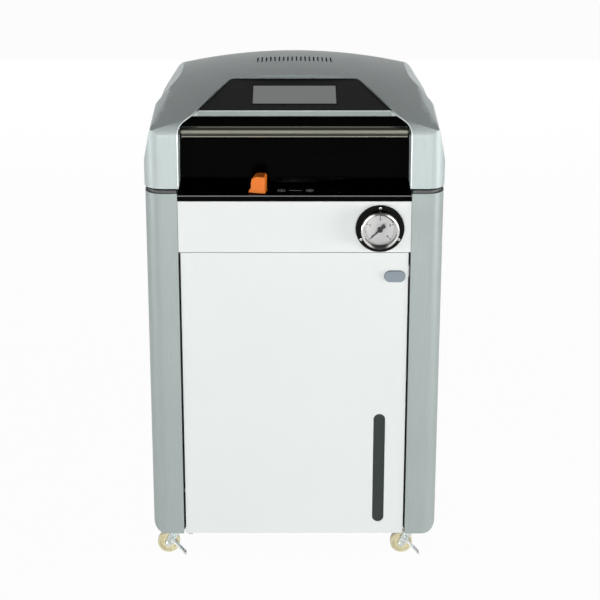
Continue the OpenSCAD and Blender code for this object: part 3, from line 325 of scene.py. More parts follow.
steel_x = brushed("brushed_steel_x", (0.62, 0.635, 0.63), 0.30, "x")
steel_z = brushed("brushed_steel_z", (0.60, 0.615, 0.61), 0.32, "z")
polished = brushed("polished_steel", (0.78, 0.78, 0.765), 0.13, "x", 0.06, 0.01)
chrome = brushed("chrome_plate", (0.36, 0.36, 0.35), 0.16, "x", 0.06, 0.01)
pressed = brushed("pressed_steel", (0.55, 0.565, 0.565), 0.38, "y", 0.10, 0.03)
brass = brushed("turned_brass", (0.56, 0.42, 0.18), 0.26, "z", 0.10, 0.03)
dark_iron = brushed("dark_iron", (0.11, 0.115, 0.12), 0.42, "x", 0.12, 0.03)

zinc = Finish("zinc_plate", (0.56, 0.60, 0.60), Metallic=1.0)
crystals = zinc.node("ShaderNodeSeparateColor", {}, {0: zinc.cells(420, "Color")})
stain = zinc.ramp(zinc.noise(60, 4), 0.45, 0.75)
zinc.feed("Base Color", zinc.tint(
    stain * 0.5, zinc.tint(crystals, (0.50, 0.545, 0.55), (0.66, 0.70, 0.69)), (0.55, 0.50, 0.38)))
zinc.feed("Roughness", 0.26 + crystals * 0.12 + stain * 0.12)
zinc.bump(zinc.noise(900, 2), 0.15, 0.05)

# The grab bar's colour holds painted reflections: dark and bright bands along it stand for the dark
# lid and the pale room that the tube mirrors; height is in millimetres above the lowest line of the
# tube
BAR_Z = low_high("grab_bar")[0].z
bead = brushed("bright_bead", (0.62, 0.66, 0.65), 0.30, "x", 0.06, 0.01)
bar_steel = brushed("bar_steel", (0.115, 0.118, 0.098), 0.22, "x", 0.10, 0.02)
height = bar_steel.node("ShaderNodeSeparateXYZ", {}, {0: bar_steel.place()}, 2) / MM - BAR_Z
reflection_blotches = bar_steel.noise(14, 4, (0.6, 0, 0)) * 0.5 + 0.4
bands = ((bar_steel.ramp(height, 3.0, 3.8) - bar_steel.ramp(height, 6.2, 7.2)) * 0.8
         + (bar_steel.ramp(height, 11.6, 12.6) - bar_steel.ramp(height, 15.0, 16.2)) * reflection_blotches
         + bar_steel.ramp(height, 19.0, 19.5) * 0.3)
bar_steel.feed("Base Color", bar_steel.tint(bands, (0.030, 0.030, 0.024), (0.42, 0.42, 0.36)))

# The chrome bezel's colour holds a painted reflection: bright at its flanks, as if mirroring the
# room, and dark at the top; the ramp runs over the square of the distance from the middle
bezel_low, bezel_high = low_high("gauge_bezel")
GAUGE_X = (bezel_low.x + bezel_high.x) / 2
across = chrome.node("ShaderNodeSeparateXYZ", {}, {0: chrome.place()}) / MM - GAUGE_X
painted_reflection_flank = chrome.ramp(across * across, 30, 260)
chrome.feed("Base Color", chrome.tint(painted_reflection_flank, (0.05, 0.05, 0.048), (0.66, 0.65, 0.63)))
print("metals:", steel_x.material.name, zinc.material.name)

# %% [markdown]
# ## Moulded plastics and rubber
# The lever, the button and the gasket are plain mouldings with a fine spark-eroded grain and a slow
# change of tone. Printed marks share that function. The nylon wheels have darker scuffs as well.


# %% Plastics
def moulded(name, color, rough, grain_scale=1900, depth=0.06, **uniform):
    """A plain moulding; depth is that of its grain in millimetres."""
    f = Finish(name, color, **uniform)
    fine = f.cells(grain_scale)
    slow = f.noise(45, 3)
    tone = slow * 0.7 + fine * 0.3
    f.feed("Base Color", f.tint(tone, toned(color, 0.90), toned(color, 1.06)))
    f.feed("Roughness", rough + fine * 0.10 + slow * 0.06)
    return f.bump(fine, 0.25, depth)


orange = moulded("orange_lever_moulding", (0.90, 0.225, 0.024), 0.36, Specular_IOR_Level=0.25)
red = moulded("red_handle_moulding", (0.42, 0.030, 0.022), 0.34)
button_grey = moulded("button_moulding", (0.235, 0.280, 0.320), 0.36)
rubber = moulded("gasket_rubber", (0.30, 0.075, 0.055), 0.52, 900)
black_rubber = moulded("black_rubber", (0.018, 0.018, 0.018), 0.6, 900)
smoked = moulded("smoked_window", (0.030, 0.040, 0.036), 0.10, 2600, 0.01, Specular_IOR_Level=0.3)
mark_black = moulded("printed_black", (0.018, 0.018, 0.02), 0.5)
mark_arc = moulded("printed_arc", (0.045, 0.008, 0.008), 0.5)
mark_grey = moulded("printed_grey", (0.78, 0.79, 0.78), 0.5)
vent_grey = moulded("vent_baffle_grey", (0.50, 0.53, 0.52), 0.5)
dial_white = moulded("printed_dial", (0.86, 0.87, 0.86), 0.42, 1500, 0.02)
bottle_white = moulded("bottle_polyethylene", (0.74, 0.78, 0.75), 0.30, 900, 0.04,
                       Subsurface_Weight=0.25, Subsurface_Scale=0.01)

wheel_cream = Finish("wheel_nylon", (0.78, 0.72, 0.47))
scuffs = wheel_cream.ramp(wheel_cream.noise(170, 5, (1, 0.4, 1)), 0.52, 0.70)
nylon = wheel_cream.tint(wheel_cream.noise(30, 2), (0.80, 0.75, 0.52), (0.72, 0.65, 0.40))
wheel_cream.feed("Base Color", wheel_cream.tint(scuffs * 0.45, nylon, (0.30, 0.27, 0.19)))
wheel_cream.feed("Roughness", 0.36 + scuffs * 0.25)
wheel_cream.bump(scuffs, 0.2, 0.1)
print("plastics:", orange.material.name, wheel_cream.material.name)

# %% [markdown]
# ## Glass, screen and lagging
# The gauge glass is thin and clear, so a low alpha shows the dial and keeps the highlights. The
# touch screen is matt glass over a grey liquid-crystal panel with a faint light behind it. The
# chamber's lagging is woven glass cloth: two crossed waves give its threads.

# %% Glass, screen and lagging
glass = Finish("gauge_glass", (0.02, 0.022, 0.022), Alpha=0.06, Specular_IOR_Level=0.5)
glass.feed("Roughness", 0.02 + glass.noise(70, 3) * 0.05)

screen = Finish("screen_glass", (0.30, 0.33, 0.31), Specular_IOR_Level=0.03,
                Emission_Color=(0.95, 1.0, 0.97, 1.0), Emission_Strength=0.105)
lines = screen.node("ShaderNodeTexWave", {"bands_direction": "X"},
                    {"Vector": screen.place(), "Scale": 900.0}, "Fac")
screen.feed("Base Color", screen.tint(
    lines * 0.15 + screen.noise(7, 2) * 0.8, (0.27, 0.295, 0.28), (0.38, 0.41, 0.39)))
screen.feed("Roughness", 0.30 + lines * 0.04)

lagging = Finish("glass_cloth", (0.66, 0.65, 0.60), Roughness=0.85, Sheen_Weight=0.2)
warp = lagging.node("ShaderNodeTexWave", {"bands_direction": "Z"},
                    {"Vector": lagging.place(), "Scale": 320.0, "Distortion": 1.2}, "Fac")
weft = lagging.node("ShaderNodeTexWave", {"bands_direction": "DIAGONAL"},
                    {"Vector": lagging.place((1, 1, 0)), "Scale": 260.0, "Distortion": 1.2}, "Fac")
weave = warp * 0.5 + weft * 0.5
lagging.feed("Base Color", lagging.tint(
    weave * 0.6 + lagging.noise(8, 4) * 0.4, (0.50, 0.49, 0.44), (0.72, 0.71, 0.66)))
lagging.bump(weave, 0.5, 0.4)
print("glass:", glass.material.name, screen.material.name, lagging.material.name)

# %% [markdown]
# ## A finish for every node
# Each CAD node first gets the finish of the real piece. Later cells replace those that need a
# finer shape, and the rest keep their CAD mesh.

# %% Node finishes
CORNERS = ("front_left", "front_right", "rear_left", "rear_right")
finishes = {
    silver: ["side_panel_left", "side_panel_right"],
    lid_silver: ["lid_shell"],
    white: ["front_upper_panel", "front_door"],
    grey_coat: ["base_frame", "rear_panel", "control_box", "lid_frame", "hinge_brackets"],
    gloss: ["lid_front_cover", "top_deck"],
    grained: ["lid_base_cover", "fan_frame", "door_latch", "cord_gland"],
    panel_black: ["control_panel", "gauge_case"],
    screen: ["touch_screen"],
    polished: ["gauge_bezel"],
    bar_steel: ["grab_bar"],
    steel_x: ["ring_retainer", "lever_arm", "ring_guides", "latch_keeper", "hinge_pin"],
    steel_z: ["chamber", "lock_ring", "pressure_lid", "chamber_rack", "wire_basket",
              "heater_element"],
    pressed: ["drain_pipe", "exhaust_pipe", "door_hinge_pins"],
    brass: ["drain_valve", "safety_valve"],
    zinc: ["caster_plates", "brake_pedal_left", "brake_pedal_right",
           *("caster_fork_" + corner for corner in CORNERS)],
    wheel_cream: ["caster_wheel_" + corner for corner in CORNERS],
    lagging: ["chamber_jacket"],
    dial_white: ["gauge_dial"],
    glass: ["gauge_glass"],
    mark_black: ["gauge_needle"],
    orange: ["lock_lever"],
    red: ["drain_lever"],
    button_grey: ["push_button"],
    rubber: ["lid_gasket"],
    smoked: ["level_window"],
    bottle_white: ["exhaust_bottle"],
    black_rubber: ["exhaust_bottle_cap", "fan_rotor"],
}
finish_of = {name: finish for finish, names in finishes.items() for name in names}
for name, node in nodes.items():
    for place in node.material_slots:
        place.material = finish_of[name].material
body_of = {name: node["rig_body"] for name, node in nodes.items()}
print("nodes with a finish:", len(finish_of))

# %% [markdown]
# ## Turning meshes into pieces
# `piece` makes an object from a bmesh, smooths it up to a sharp angle and lets it ride on its body.
# `refined` starts from a copy of a CAD node instead: it merges the loose triangles, breaks the sharp
# edges with a small bevel, as a press or a mould does, and stands for the node.

# %% Piece helpers
SHARP = 35
CAD_WELD, SPUN_WELD, SHEET_WELD, CAD_FLAT = 0.002, 0.001, 0.01, 0.4


def piece(name, bm, finish, body, angle=SHARP, replaces=()):
    """An object from a bmesh, riding on a body."""
    mesh = bpy.data.meshes.new(name)
    bm.to_mesh(mesh)
    bm.free()
    mesh.materials.append(finish.material)
    mesh.shade_smooth()
    mesh.set_sharp_from_angle(angle=math.radians(angle))
    made = bpy.data.objects.new(name, mesh)
    bpy.context.scene.collection.objects.link(made)
    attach(made, body)
    if replaces:
        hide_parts(*replaces)
    return made


def break_edges(made, width, segments):
    """A bevel on every edge that is sharper than the limit."""
    bevel = made.modifiers.new("edge", "BEVEL")
    bevel.width, bevel.segments = width * MM, segments
    bevel.limit_method, bevel.angle_limit = "ANGLE", math.radians(SHARP)


def refined(node, width):
    """A copy of a CAD node with its sharp edges bevelled, which stands for it."""
    bm = bmesh.new()
    bm.from_mesh(nodes[node].data)
    bmesh.ops.remove_doubles(bm, verts=bm.verts, dist=CAD_WELD * MM)
    bmesh.ops.dissolve_limit(bm, angle_limit=math.radians(CAD_FLAT), verts=bm.verts, edges=bm.edges)
    made = piece(node + "_shaped", bm, finish_of[node], body_of[node],
                 replaces=(node,))
    break_edges(made, width, 2)
    made.modifiers.new("flat", "WEIGHTED_NORMAL").keep_sharp = True
    return made


print("piece helpers ready")

# %% [markdown]
# ## The room
# The room is a pale floor and a white world. Both show themselves to the camera, to mirrors and to
# glass as plain white; for all other light they are quiet, so that the lamps shape the object. The
# lamps stand low, which leaves the lid's top and the black mouth dark, as in the portrait.

# %% Floor, world and lamps
FLOOR_HALF, FLOOR_SHOWN = 9, 0.97
WORLD_QUIET, WORLD_SHOWN = 0.12, 0.98
bm = bmesh.new()
bmesh.ops.create_grid(bm, x_segments=1, y_segments=1, size=FLOOR_HALF)
floor = bpy.data.objects.new("studio_floor", bpy.data.meshes.new("studio_floor"))
bm.to_mesh(floor.data)
bm.free()
bpy.context.scene.collection.objects.link(floor)
paper = Finish("studio_paper", (0.80, 0.80, 0.80), Roughness=0.9, Specular_IOR_Level=0.1)
glow = paper.node("ShaderNodeEmission", {}, {"Color": (1, 1, 1, 1), "Strength": 1.0})
lit = paper.node("ShaderNodeMixShader", {}, {
    0: paper.seen() * FLOOR_SHOWN, 1: Wire(paper, paper.shader.outputs[0]), 2: glow})
paper.tree.links.new(lit.socket, paper.tree.nodes["Material Output"].inputs["Surface"])
floor.data.materials.append(paper.material)

world = bpy.data.worlds.new("studio_world")
world.use_nodes = True
bpy.context.scene.world = world
background = world.node_tree.nodes["Background"]
background.inputs["Color"].default_value = (1, 1, 1, 1)
sky = Network(world.node_tree)
level = sky.seen() * (WORLD_SHOWN - WORLD_QUIET) + WORLD_QUIET
sky.tree.links.new(level.socket, background.inputs["Strength"])


def lamp(name, place, target, width, height, watts, mirrored=False):
    """A soft lamp, in metres and watts; a mirrored one shows in glossy surfaces."""
    light = bpy.data.lights.new(name, "AREA")
    light.shape = "RECTANGLE"
    light.size, light.size_y = width, height
    light.energy = watts
    made = bpy.data.objects.new(name, light)
    bpy.context.scene.collection.objects.link(made)
    made.location = place
    made.rotation_euler = (Vector(target) - Vector(place)).to_track_quat("-Z", "Y").to_euler()
    made.visible_glossy = mirrored


lamp("front", (0, -3.6, 0.42), (0, -0.1, 0.40), 3.6, 0.7, 69, True)
lamp("side_left", (-2.9, -1.1, 0.32), (0, 0, 0.4), 1.0, 0.6, 30, True)
lamp("side_right", (2.9, -1.1, 0.32), (0, 0, 0.4), 1.0, 0.6, 44, True)
lamp("behind", (0, 3.2, 0.45), (0, 0.2, 0.4), 3.0, 0.7, 55)

# %% [markdown]
# ## Sheet metal and mouldings with real edges
# The large parts keep their CAD form. What makes them look pressed or moulded is the light line
# that runs along every broken edge.

# %% Main panels
EDGE_WIDTHS = {
    "side_panel_left": 0.5, "side_panel_right": 0.5, "lid_shell": 1.2, "front_door": 0.7,
    "front_upper_panel": 0.6, "top_deck": 0.4, "lid_front_cover": 0.6, "control_panel": 0.5,
    "push_button": 0.7, "gauge_case": 0.6, "rear_panel": 0.4, "lock_ring": 1.0, "pressure_lid": 1.0,
    "lid_base_cover": 0.4, "hinge_brackets": 0.5, "exhaust_bottle": 1.5, "exhaust_bottle_cap": 0.8,
    "drain_valve": 0.8, "drain_lever": 0.5, "fan_frame": 0.8, "cord_gland": 0.5,
    "caster_plates": 0.4, "door_latch": 0.5,
}
for name, width in EDGE_WIDTHS.items():
    made = refined(name, width)
    print(made.name, len(made.data.polygons))

# %% [markdown]
# ## Small turned, bent and printed things
# Screws, rings, springs and printed marks come up on every side, so each kind has one short
# function. A turned part is a section spun round an axis, a wire is a curve with a round section,
# and a mark is a plate a little over a tenth of a millimetre thick.

# %% Small parts
OUT, BACK, UP, DOWN = (0, -1, 0), (0, 1, 0), (0, 0, 1), (0, 0, -1)
LEFT, RIGHT = (-1, 0, 0), (1, 0, 0)
RISEN = Matrix.Rotation(math.radians(90), 4, "X")  # a drawing's y becomes z, and its z faces out


def at(x, y, z):
    """A move to a place in millimetres."""
    return Matrix.Translation(mm(x, y, z))


def stand(place, axis):
    """A frame at a place in millimetres, with its z along the axis."""
    return at(*place) @ Vector(axis).to_track_quat("Z", "Y").to_matrix().to_4x4()


def add(bm, part, matrix=Matrix.Identity(4)):
    """Move a finished small part into a bigger bmesh."""
    mesh = bpy.data.meshes.new("part")
    part.to_mesh(mesh)
    part.free()
    mesh.transform(matrix)
    bm.from_mesh(mesh)
    bpy.data.meshes.remove(mesh)
    return bm


def turned(bm, profile, place, axis, steps):
    """Spin a section of (radius, height) points about the axis."""
    part = bmesh.new()
    line = [part.verts.new((r * MM, 0, h * MM)) for r, h in profile]
    closing = [(line[-1], line[0])] if profile[0][0] > 0 else []
    edges = [part.edges.new(pair) for pair in list(zip(line, line[1:])) + closing]
    bmesh.ops.spin(part, geom=line + edges, cent=(0, 0, 0), axis=(0, 0, 1), angle=math.tau,
                   steps=steps, use_merge=True)
    bmesh.ops.remove_doubles(part, verts=part.verts, dist=SPUN_WELD * MM)
    bmesh.ops.recalc_face_normals(part, faces=part.faces)
    return add(bm, part, stand(place, axis))


def screw(bm, place, axis, r, h, sides=20):
    """A socket screw's head, or a hexagon bolt's with six sides."""
    if sides == 6:
        profile = [(0, 0), (r, 0), (r, 0.78 * h), (0.86 * r, h), (0, h)]
    else:
        profile = [(0, 0), (r, 0), (r, 0.5 * h), (0.84 * r, 0.9 * h), (0.5 * r, h),
                   (0.44 * r, 0.4 * h), (0, 0.4 * h)]
    return turned(bm, profile, place, axis, sides)


def washer(bm, inner, outer, height, place, axis, steps):
    """A flat ring, or a disc where the inner radius is 0."""
    section = [(inner, 0), (outer, 0), (outer, height), (inner, height)]
    return turned(bm, section, place, axis, steps)


def box(bm, low, high, matrix=Matrix.Identity(4)):
    """A block between two corners of the frame."""
    low, high = mm(*low), mm(*high)
    middle = Matrix.Translation((low + high) / 2) @ Matrix.Diagonal((*(high - low), 1))
    bmesh.ops.create_cube(bm, size=1.0, matrix=matrix @ middle)
    return bm


def plate(bm, outline, thickness, matrix):
    """A flat part cut to an outline in millimetres, in the frame's x and y."""
    part = bmesh.new()
    face = part.faces.new([part.verts.new(mm(x, y, 0)) for x, y in outline])
    grown = bmesh.ops.extrude_face_region(part, geom=[face])
    risen = [v for v in grown["geom"] if isinstance(v, bmesh.types.BMVert)]
    bmesh.ops.translate(part, verts=risen, vec=(0, 0, thickness * MM))
    bmesh.ops.recalc_face_normals(part, faces=part.faces)
    return add(bm, part, matrix)


def curve_part(bm, curve, matrix=Matrix.Identity(4)):
    """Turn a curve or a letter into a mesh and add it."""
    holder = bpy.data.objects.new("curve", curve)
    mesh = bpy.data.meshes.new_from_object(holder)
    mesh.transform(matrix)
    bm.from_mesh(mesh)
    bpy.data.meshes.remove(mesh)
    bpy.data.objects.remove(holder)
    bpy.data.curves.remove(curve)
    return bm


def wire(bm, points, r, closed=False):
    """Round wire of radius r through the points."""
    curve = bpy.data.curves.new("wire", "CURVE")
    curve.dimensions = "3D"
    curve.bevel_depth = r * MM
    curve.bevel_resolution = 3
    curve.use_fill_caps = True
    line = curve.splines.new("POLY")
    line.points.add(len(points) - 1)
    for spot, point in zip(line.points, points):
        spot.co = (*mm(*point), 1)
    line.use_cyclic_u = closed
    return curve_part(bm, curve)


def around(middle, r, degrees, z):
    """A point on a level circle."""
    a = math.radians(degrees)
    return (middle[0] + r * math.cos(a), middle[1] + r * math.sin(a), z)


print("small part helpers ready")

# %% [markdown]
# ## The pressure gauge
# The real gauge has a chrome bezel rolled over the edge of its glass, so the bezel is one section
# spun round. The dial is printed sheet: 41 marks over three quarters of a turn, plain numbers, and
# a dark arc over the range that a run never uses. Three screws hold the black flange.

# %% Gauge
hub = (GAUGE_X, (bezel_low.z + bezel_high.z) / 2)
rim = (bezel_high.x - bezel_low.x) / 2
dial_face = low_high("gauge_dial")[0].y
SWEEP, FIRST, MARKS, NUMBERS = 270, -135, 40, 5
MARK_R, NUMBER_R, NUMBER_SIZE, NUMBER_WEIGHT = 24.6, 17.2, 6.0, 0.16
TENTH, FIFTH, SINGLE, PRINT_HALF = (4.4, 1.0), (3.2, 0.75), (2.2, 0.5), 0.06
ARC_OUTER, ARC_INNER, ARC_END, ARC_STEPS = 24.9, 22.6, 62, 16


def on_dial(r, degrees, y):
    """A point on the gauge, with degrees clockwise from the top."""
    a = math.radians(degrees)
    return (hub[0] + r * math.sin(a), y, hub[1] + r * math.cos(a))


def dial_frame(degrees, y):
    """x across the mark, y outward along it, z to the viewer."""
    return at(hub[0], y, hub[1]) @ Matrix.Rotation(math.radians(degrees), 4, "Y") @ RISEN


depth = bezel_high.y - bezel_low.y
bm = turned(bmesh.new(), [
    (rim - 3, 0), (rim, 0), (rim, depth - 3.4), (rim - 0.5, depth - 1.3),
    (rim - 1.6, depth - 0.2), (rim - 2.6, depth), (rim - 3.8, depth - 0.5),
    (rim - 4.3, depth - 1.3), (rim - 4.1, depth - 2.0), (rim - 3, depth - 2.5),
], (hub[0], bezel_high.y, hub[1]), OUT, 96)
piece("gauge_bezel_rolled", bm, chrome, body_of["gauge_bezel"], 30,
      ("gauge_bezel",))

bm = bmesh.new()
for mark in range(MARKS + 1):
    length, width = TENTH if mark % 10 == 0 else FIFTH if mark % 5 == 0 else SINGLE
    turn = dial_frame(FIRST + SWEEP * mark / MARKS, dial_face)
    box(bm, (-width / 2, MARK_R - length, 0), (width / 2, MARK_R, 2 * PRINT_HALF), turn)
for number in range(NUMBERS):
    letters = bpy.data.curves.new("number", "FONT")
    letters.body = str(number)
    letters.size = NUMBER_SIZE * MM
    letters.extrude = PRINT_HALF * MM
    letters.offset = NUMBER_WEIGHT * MM
    letters.align_x = letters.align_y = "CENTER"
    place = on_dial(NUMBER_R, FIRST + SWEEP * number / (NUMBERS - 1), dial_face - PRINT_HALF)
    curve_part(bm, letters, at(*place) @ RISEN)
piece("gauge_scale", bm, mark_black, body_of["gauge_dial"])

outer, inner = ([on_dial(r, ARC_END * k / ARC_STEPS, 0) for k in range(ARC_STEPS + 1)]
                for r in (ARC_OUTER, ARC_INNER))
arc = [(x, z) for x, _, z in outer + inner[::-1]]
bm = plate(bmesh.new(), arc, 0.16, at(0, dial_face, 0) @ RISEN)
piece("gauge_arc", bm, mark_arc, body_of["gauge_dial"])

bm = bmesh.new()
for degrees in (0, 120, 240):
    screw(bm, on_dial(rim + 4, degrees, bezel_high.y), OUT, 2.5, 1.8)
piece("gauge_screws", bm, pressed, body_of["gauge_case"])

needle_low, needle_high = low_high("gauge_needle")
half = [(0, 20.8), (0.55, 19.4), (1.25, 5), (1.5, 0), (1.7, -4), (3.1, -6.2), (3.1, -9.4),
        (1.8, -10.6)]
bm = plate(bmesh.new(), half + [(-x, y) for x, y in half[:0:-1]],
           needle_high.y - needle_low.y, dial_frame(FIRST, needle_high.y))
turned(bm, [(1.3, 0), (4.4, 0), (4.4, 1.3), (3.8, 1.9), (1.3, 2.0)],
       (hub[0], needle_high.y, hub[1]), OUT, 32)
piece("gauge_pointer", bm, mark_black, body_of["gauge_needle"], 30,
      ("gauge_needle",))
print("gauge: rim", round(rim, 1), "marks", MARKS + 1)

# %% [markdown]
# ## Marks and trim on the front
# Two printed rings beside the lever's slot show its two ends, and a short line joins them. The
# deck's front edge has a thin steel strip. Each column has a step set in from its face, which the
# lid's cheek comes down over; it follows the column's outline, so that is found by looking back at
# the column. The touch screen sits in a raised frame that keeps cleaning water off it.

# %% Deck and console trim
deck_low, deck_high = low_high("top_deck")
ring_low, ring_high = low_high("lock_ring")
AXIS = ((ring_low.x + ring_high.x) / 2, (ring_low.y + ring_high.y) / 2)
MARKS_R, MARK_ANGLES, MARK_HIGH = 254.5, (-94.7, -84.5), 0.14
LINE_GAP, LINE_HALF, STRIP_END = 12, 1.1, 40
bm = bmesh.new()
spots = [around(AXIS, MARKS_R, a, deck_high.z) for a in MARK_ANGLES]
for spot, dot in zip(spots, (2.0, 3.0)):
    washer(bm, 4.6, 6.6, MARK_HIGH, spot, UP, 40)
    washer(bm, 0, dot, MARK_HIGH, spot, UP, 24)
box(bm, (spots[0][0] + LINE_GAP, spots[0][1] - LINE_HALF, deck_high.z),
    (spots[1][0] - LINE_GAP, spots[0][1] + LINE_HALF, deck_high.z + MARK_HIGH))
piece("deck_marks", bm, mark_grey, "cabinet")
bm = box(bmesh.new(), (deck_low.x + STRIP_END, deck_low.y - 0.35, deck_high.z - 1.5),
         (deck_high.x - STRIP_END, deck_low.y - 0.02, deck_high.z - 0.1))
piece("deck_strip", bm, dark_iron, "cabinet")

STEP_INSET, STEP_LOW, STEP_HIGH, STEP_BACK = 2.6, 650.2, 657.4, 290
STEP_ACROSS = (188.5, 200, 210, 218, 223, 227, 230, 232, 234, 235.2, 236)
ROUND_FROM, LOOK_FROM, LOOK_HEIGHT = 218, -500, 640


def tree_of(node):
    """The node's surface, for looking at it along a ray."""
    shape = bmesh.new()
    shape.from_mesh(nodes[node].data)
    tree = BVHTree.FromBMesh(shape)
    shape.free()
    return tree


bm = bmesh.new()
for name, side in (("left", -1), ("right", 1)):
    column = tree_of("side_panel_" + name)
    line = []
    for x in STEP_ACROSS:
        found = column.ray_cast(mm(side * (x + 0.2), LOOK_FROM, LOOK_HEIGHT), Vector(BACK))[0]
        line.append((side * (x - STEP_INSET * (x > ROUND_FROM)), found.y / MM + STEP_INSET))
    line.append((side * (STEP_ACROSS[-1] - STEP_INSET), STEP_BACK))
    for (x0, y0), (x1, y1) in zip(line, line[1:]):
        bm.faces.new([bm.verts.new(mm(*p)) for p in (
            (x0, y0, STEP_LOW), (x1, y1, STEP_LOW), (x1, y1, STEP_HIGH), (x0, y0, STEP_HIGH))])
bmesh.ops.remove_doubles(bm, verts=bm.verts, dist=SHEET_WELD * MM)
bmesh.ops.recalc_face_normals(bm, faces=bm.faces)
bmesh.ops.solidify(bm, geom=bm.faces[:], thickness=0.8 * MM)
bmesh.ops.recalc_face_normals(bm, faces=bm.faces)
# the step's near-black coat is partly painted shade, for the gap under the lid's cheek
piece("column_steps", bm, step_coat_and_painted_shade, "cabinet", 30)

panel_mesh = nodes["touch_screen"].data
upper = [p for p in panel_mesh.polygons if p.normal.z > 0.9]
slope = upper[0].normal.copy()
points = [panel_mesh.vertices[i].co for p in upper for i in p.vertices]
corners = list({tuple(round(v, 5) for v in co): co.copy() for co in points}.values())
middle = sum(corners, Vector()) / len(corners)
corners.sort(key=lambda c: math.atan2(c.y - middle.y, c.x - middle.x))
FRAME_WIDTH, FRAME_SUNK, FRAME_HIGH = 2.6, 0.3, 0.8
up_slope = slope.cross(Vector(RIGHT))
bm = bmesh.new()
face = bm.faces.new([bm.verts.new(
    c - slope * FRAME_SUNK * MM + Vector(RIGHT) * math.copysign(FRAME_WIDTH * MM, c.x - middle.x)
    + up_slope * math.copysign(FRAME_WIDTH * MM, c.y - middle.y)) for c in corners])
bmesh.ops.inset_region(bm, faces=[face], thickness=FRAME_WIDTH * MM, use_boundary=True,
                       use_even_offset=True)
bmesh.ops.delete(bm, geom=[face], context="FACES_ONLY")
grown = bmesh.ops.extrude_face_region(bm, geom=list(bm.faces))
bmesh.ops.translate(bm, verts=[v for v in grown["geom"] if isinstance(v, bmesh.types.BMVert)],
                    vec=slope * FRAME_HIGH * MM)
bmesh.ops.recalc_face_normals(bm, faces=bm.faces)
piece("screen_frame", bm, panel_black, body_of["touch_screen"])
print("screen corners:", len(corners))

# %% [markdown]
# ## The lock lever
# The orange lever is moulded round its steel stem. It has a slanting shoulder for the thumb, a top
# that falls away to the front, a foot that covers the slot in the deck, and ribs against slipping.
# It is drawn as an outline, pushed out to its depth, and its edges are rounded by a bevel.

# %% Lever
LEVER_R, LEVER_START = 268, -102.5
LEVER_BACK, LEVER_FRONT, TOP_FROM, TOP_FALL = -7.3, 9.3, 27, 2.6
OUTLINE = [(-13.4, 0), (13.4, 0), (13.4, 3.2), (12.6, 3.8), (12.6, 27.6), (10.8, 29.4),
           (-0.5, 29.4), (-5.4, 27.4), (-8.4, 23), (-9.8, 16.5), (-9.8, 6.0), (-13.4, 4.2)]
RIBS, FIRST_RIB, RIB_STEP, RIB_WIDTH, RIB_SUNK, RIB_RISE = 4, 7.4, 4.6, 1.6, 0.1, 0.45
front_view = (at(*AXIS, low_high("lock_lever")[0].z)
              @ Matrix.Rotation(math.radians(LEVER_START), 4, "Z") @ at(LEVER_R, 0, 0)
              @ Matrix.Rotation(math.radians(90), 4, "Z") @ RISEN)
bm = plate(bmesh.new(), OUTLINE, LEVER_FRONT - LEVER_BACK, front_view @ at(0, 0, LEVER_BACK))
for v in bm.verts:
    spot = front_view.inverted() @ v.co / MM
    if spot.y > TOP_FROM and spot.z > 0:
        v.co.z -= TOP_FALL * MM
lever = piece("lock_lever_moulded", bm, orange, body_of["lock_lever"],
              replaces=("lock_lever",))
break_edges(lever, 0.9, 3)
bm = bmesh.new()
for rib in range(RIBS):
    low = FIRST_RIB + RIB_STEP * rib
    for near, far in ((LEVER_BACK - RIB_RISE, LEVER_BACK + RIB_SUNK),
                      (LEVER_FRONT - RIB_SUNK, LEVER_FRONT + RIB_RISE)):
        box(bm, (-6, low, near), (8, low + RIB_WIDTH, far), front_view)
piece("lever_ribs", bm, orange, body_of["lock_lever"])
print("lever height", max(z for _, z in OUTLINE))

# %% [markdown]
# ## Trim of the lid's mouth
# The edge of the open front is finished by a bright bead, as the cut edge of a pressed shell would
# be sharp to the hand. It is found by looking straight back at the shell, just outside the opening,
# and a wire is laid on the points that are hit. A black seal and a pale strip close the joint below
# the console. A look straight down places a baffle below the vent slots, which keeps drips off the
# electronics.

# %% Lid trim
lid = tree_of("lid_shell")
lid_body = body_of["lid_shell"]
cover_low, cover_high = low_high("lid_front_cover")
strip_low = cover_high.z
MOUTH_X = cover_high.x + 0.4


def hit(start, way):
    """The shell's first point from a start, in millimetres."""
    return lid.ray_cast(mm(*start), Vector(way))[0] / MM


EDGE, BEAD_R, BEAD_SUNK = 0.9, 0.85, 0.25
CORNER_R, CORNER_STEPS, STRAIGHT, SLANT = 18, 12, 750.7, 64.2
mouth_edge = [(MOUTH_X + EDGE, z) for z in (664, 690, 716, 735, STRAIGHT - 4)]
for k in range(CORNER_STEPS + 1):
    a = math.radians(SLANT * k / CORNER_STEPS)
    mouth_edge.append((MOUTH_X - CORNER_R + (CORNER_R + EDGE) * math.cos(a),
                       STRAIGHT + (CORNER_R + EDGE) * math.sin(a)))
mouth_edge += [(168.5, 770.4), (162.5, 773.3), (156.8, 776.0)]
bm = bmesh.new()
for side in (-1, 1):
    line = [hit((side * x, LOOK_FROM, z), BACK) for x, z in mouth_edge]
    wire(bm, [tuple(point + Vector((0, BEAD_SUNK, 0))) for point in line], BEAD_R)
wire(bm, [(x, cover_low.y - 0.1, strip_low + 12) for x in (-153.5, 153.5)], 0.55)
piece("mouth_bead", bm, bead, lid_body, 50)
on_cover = at(0, cover_low.y, strip_low) @ RISEN
bm = plate(bmesh.new(), [(-177, 0.1), (177, 0.1), (173.6, 3.5), (-173.6, 3.5)], 0.2, on_cover)
piece("mouth_seal", bm, gloss, lid_body)
bm = plate(bmesh.new(), [(-154.4, 3.5), (154.4, 3.5), (154.4, 11.4), (-154.4, 11.4)], 0.3, on_cover)
piece("console_strip", bm, anodised, lid_body)

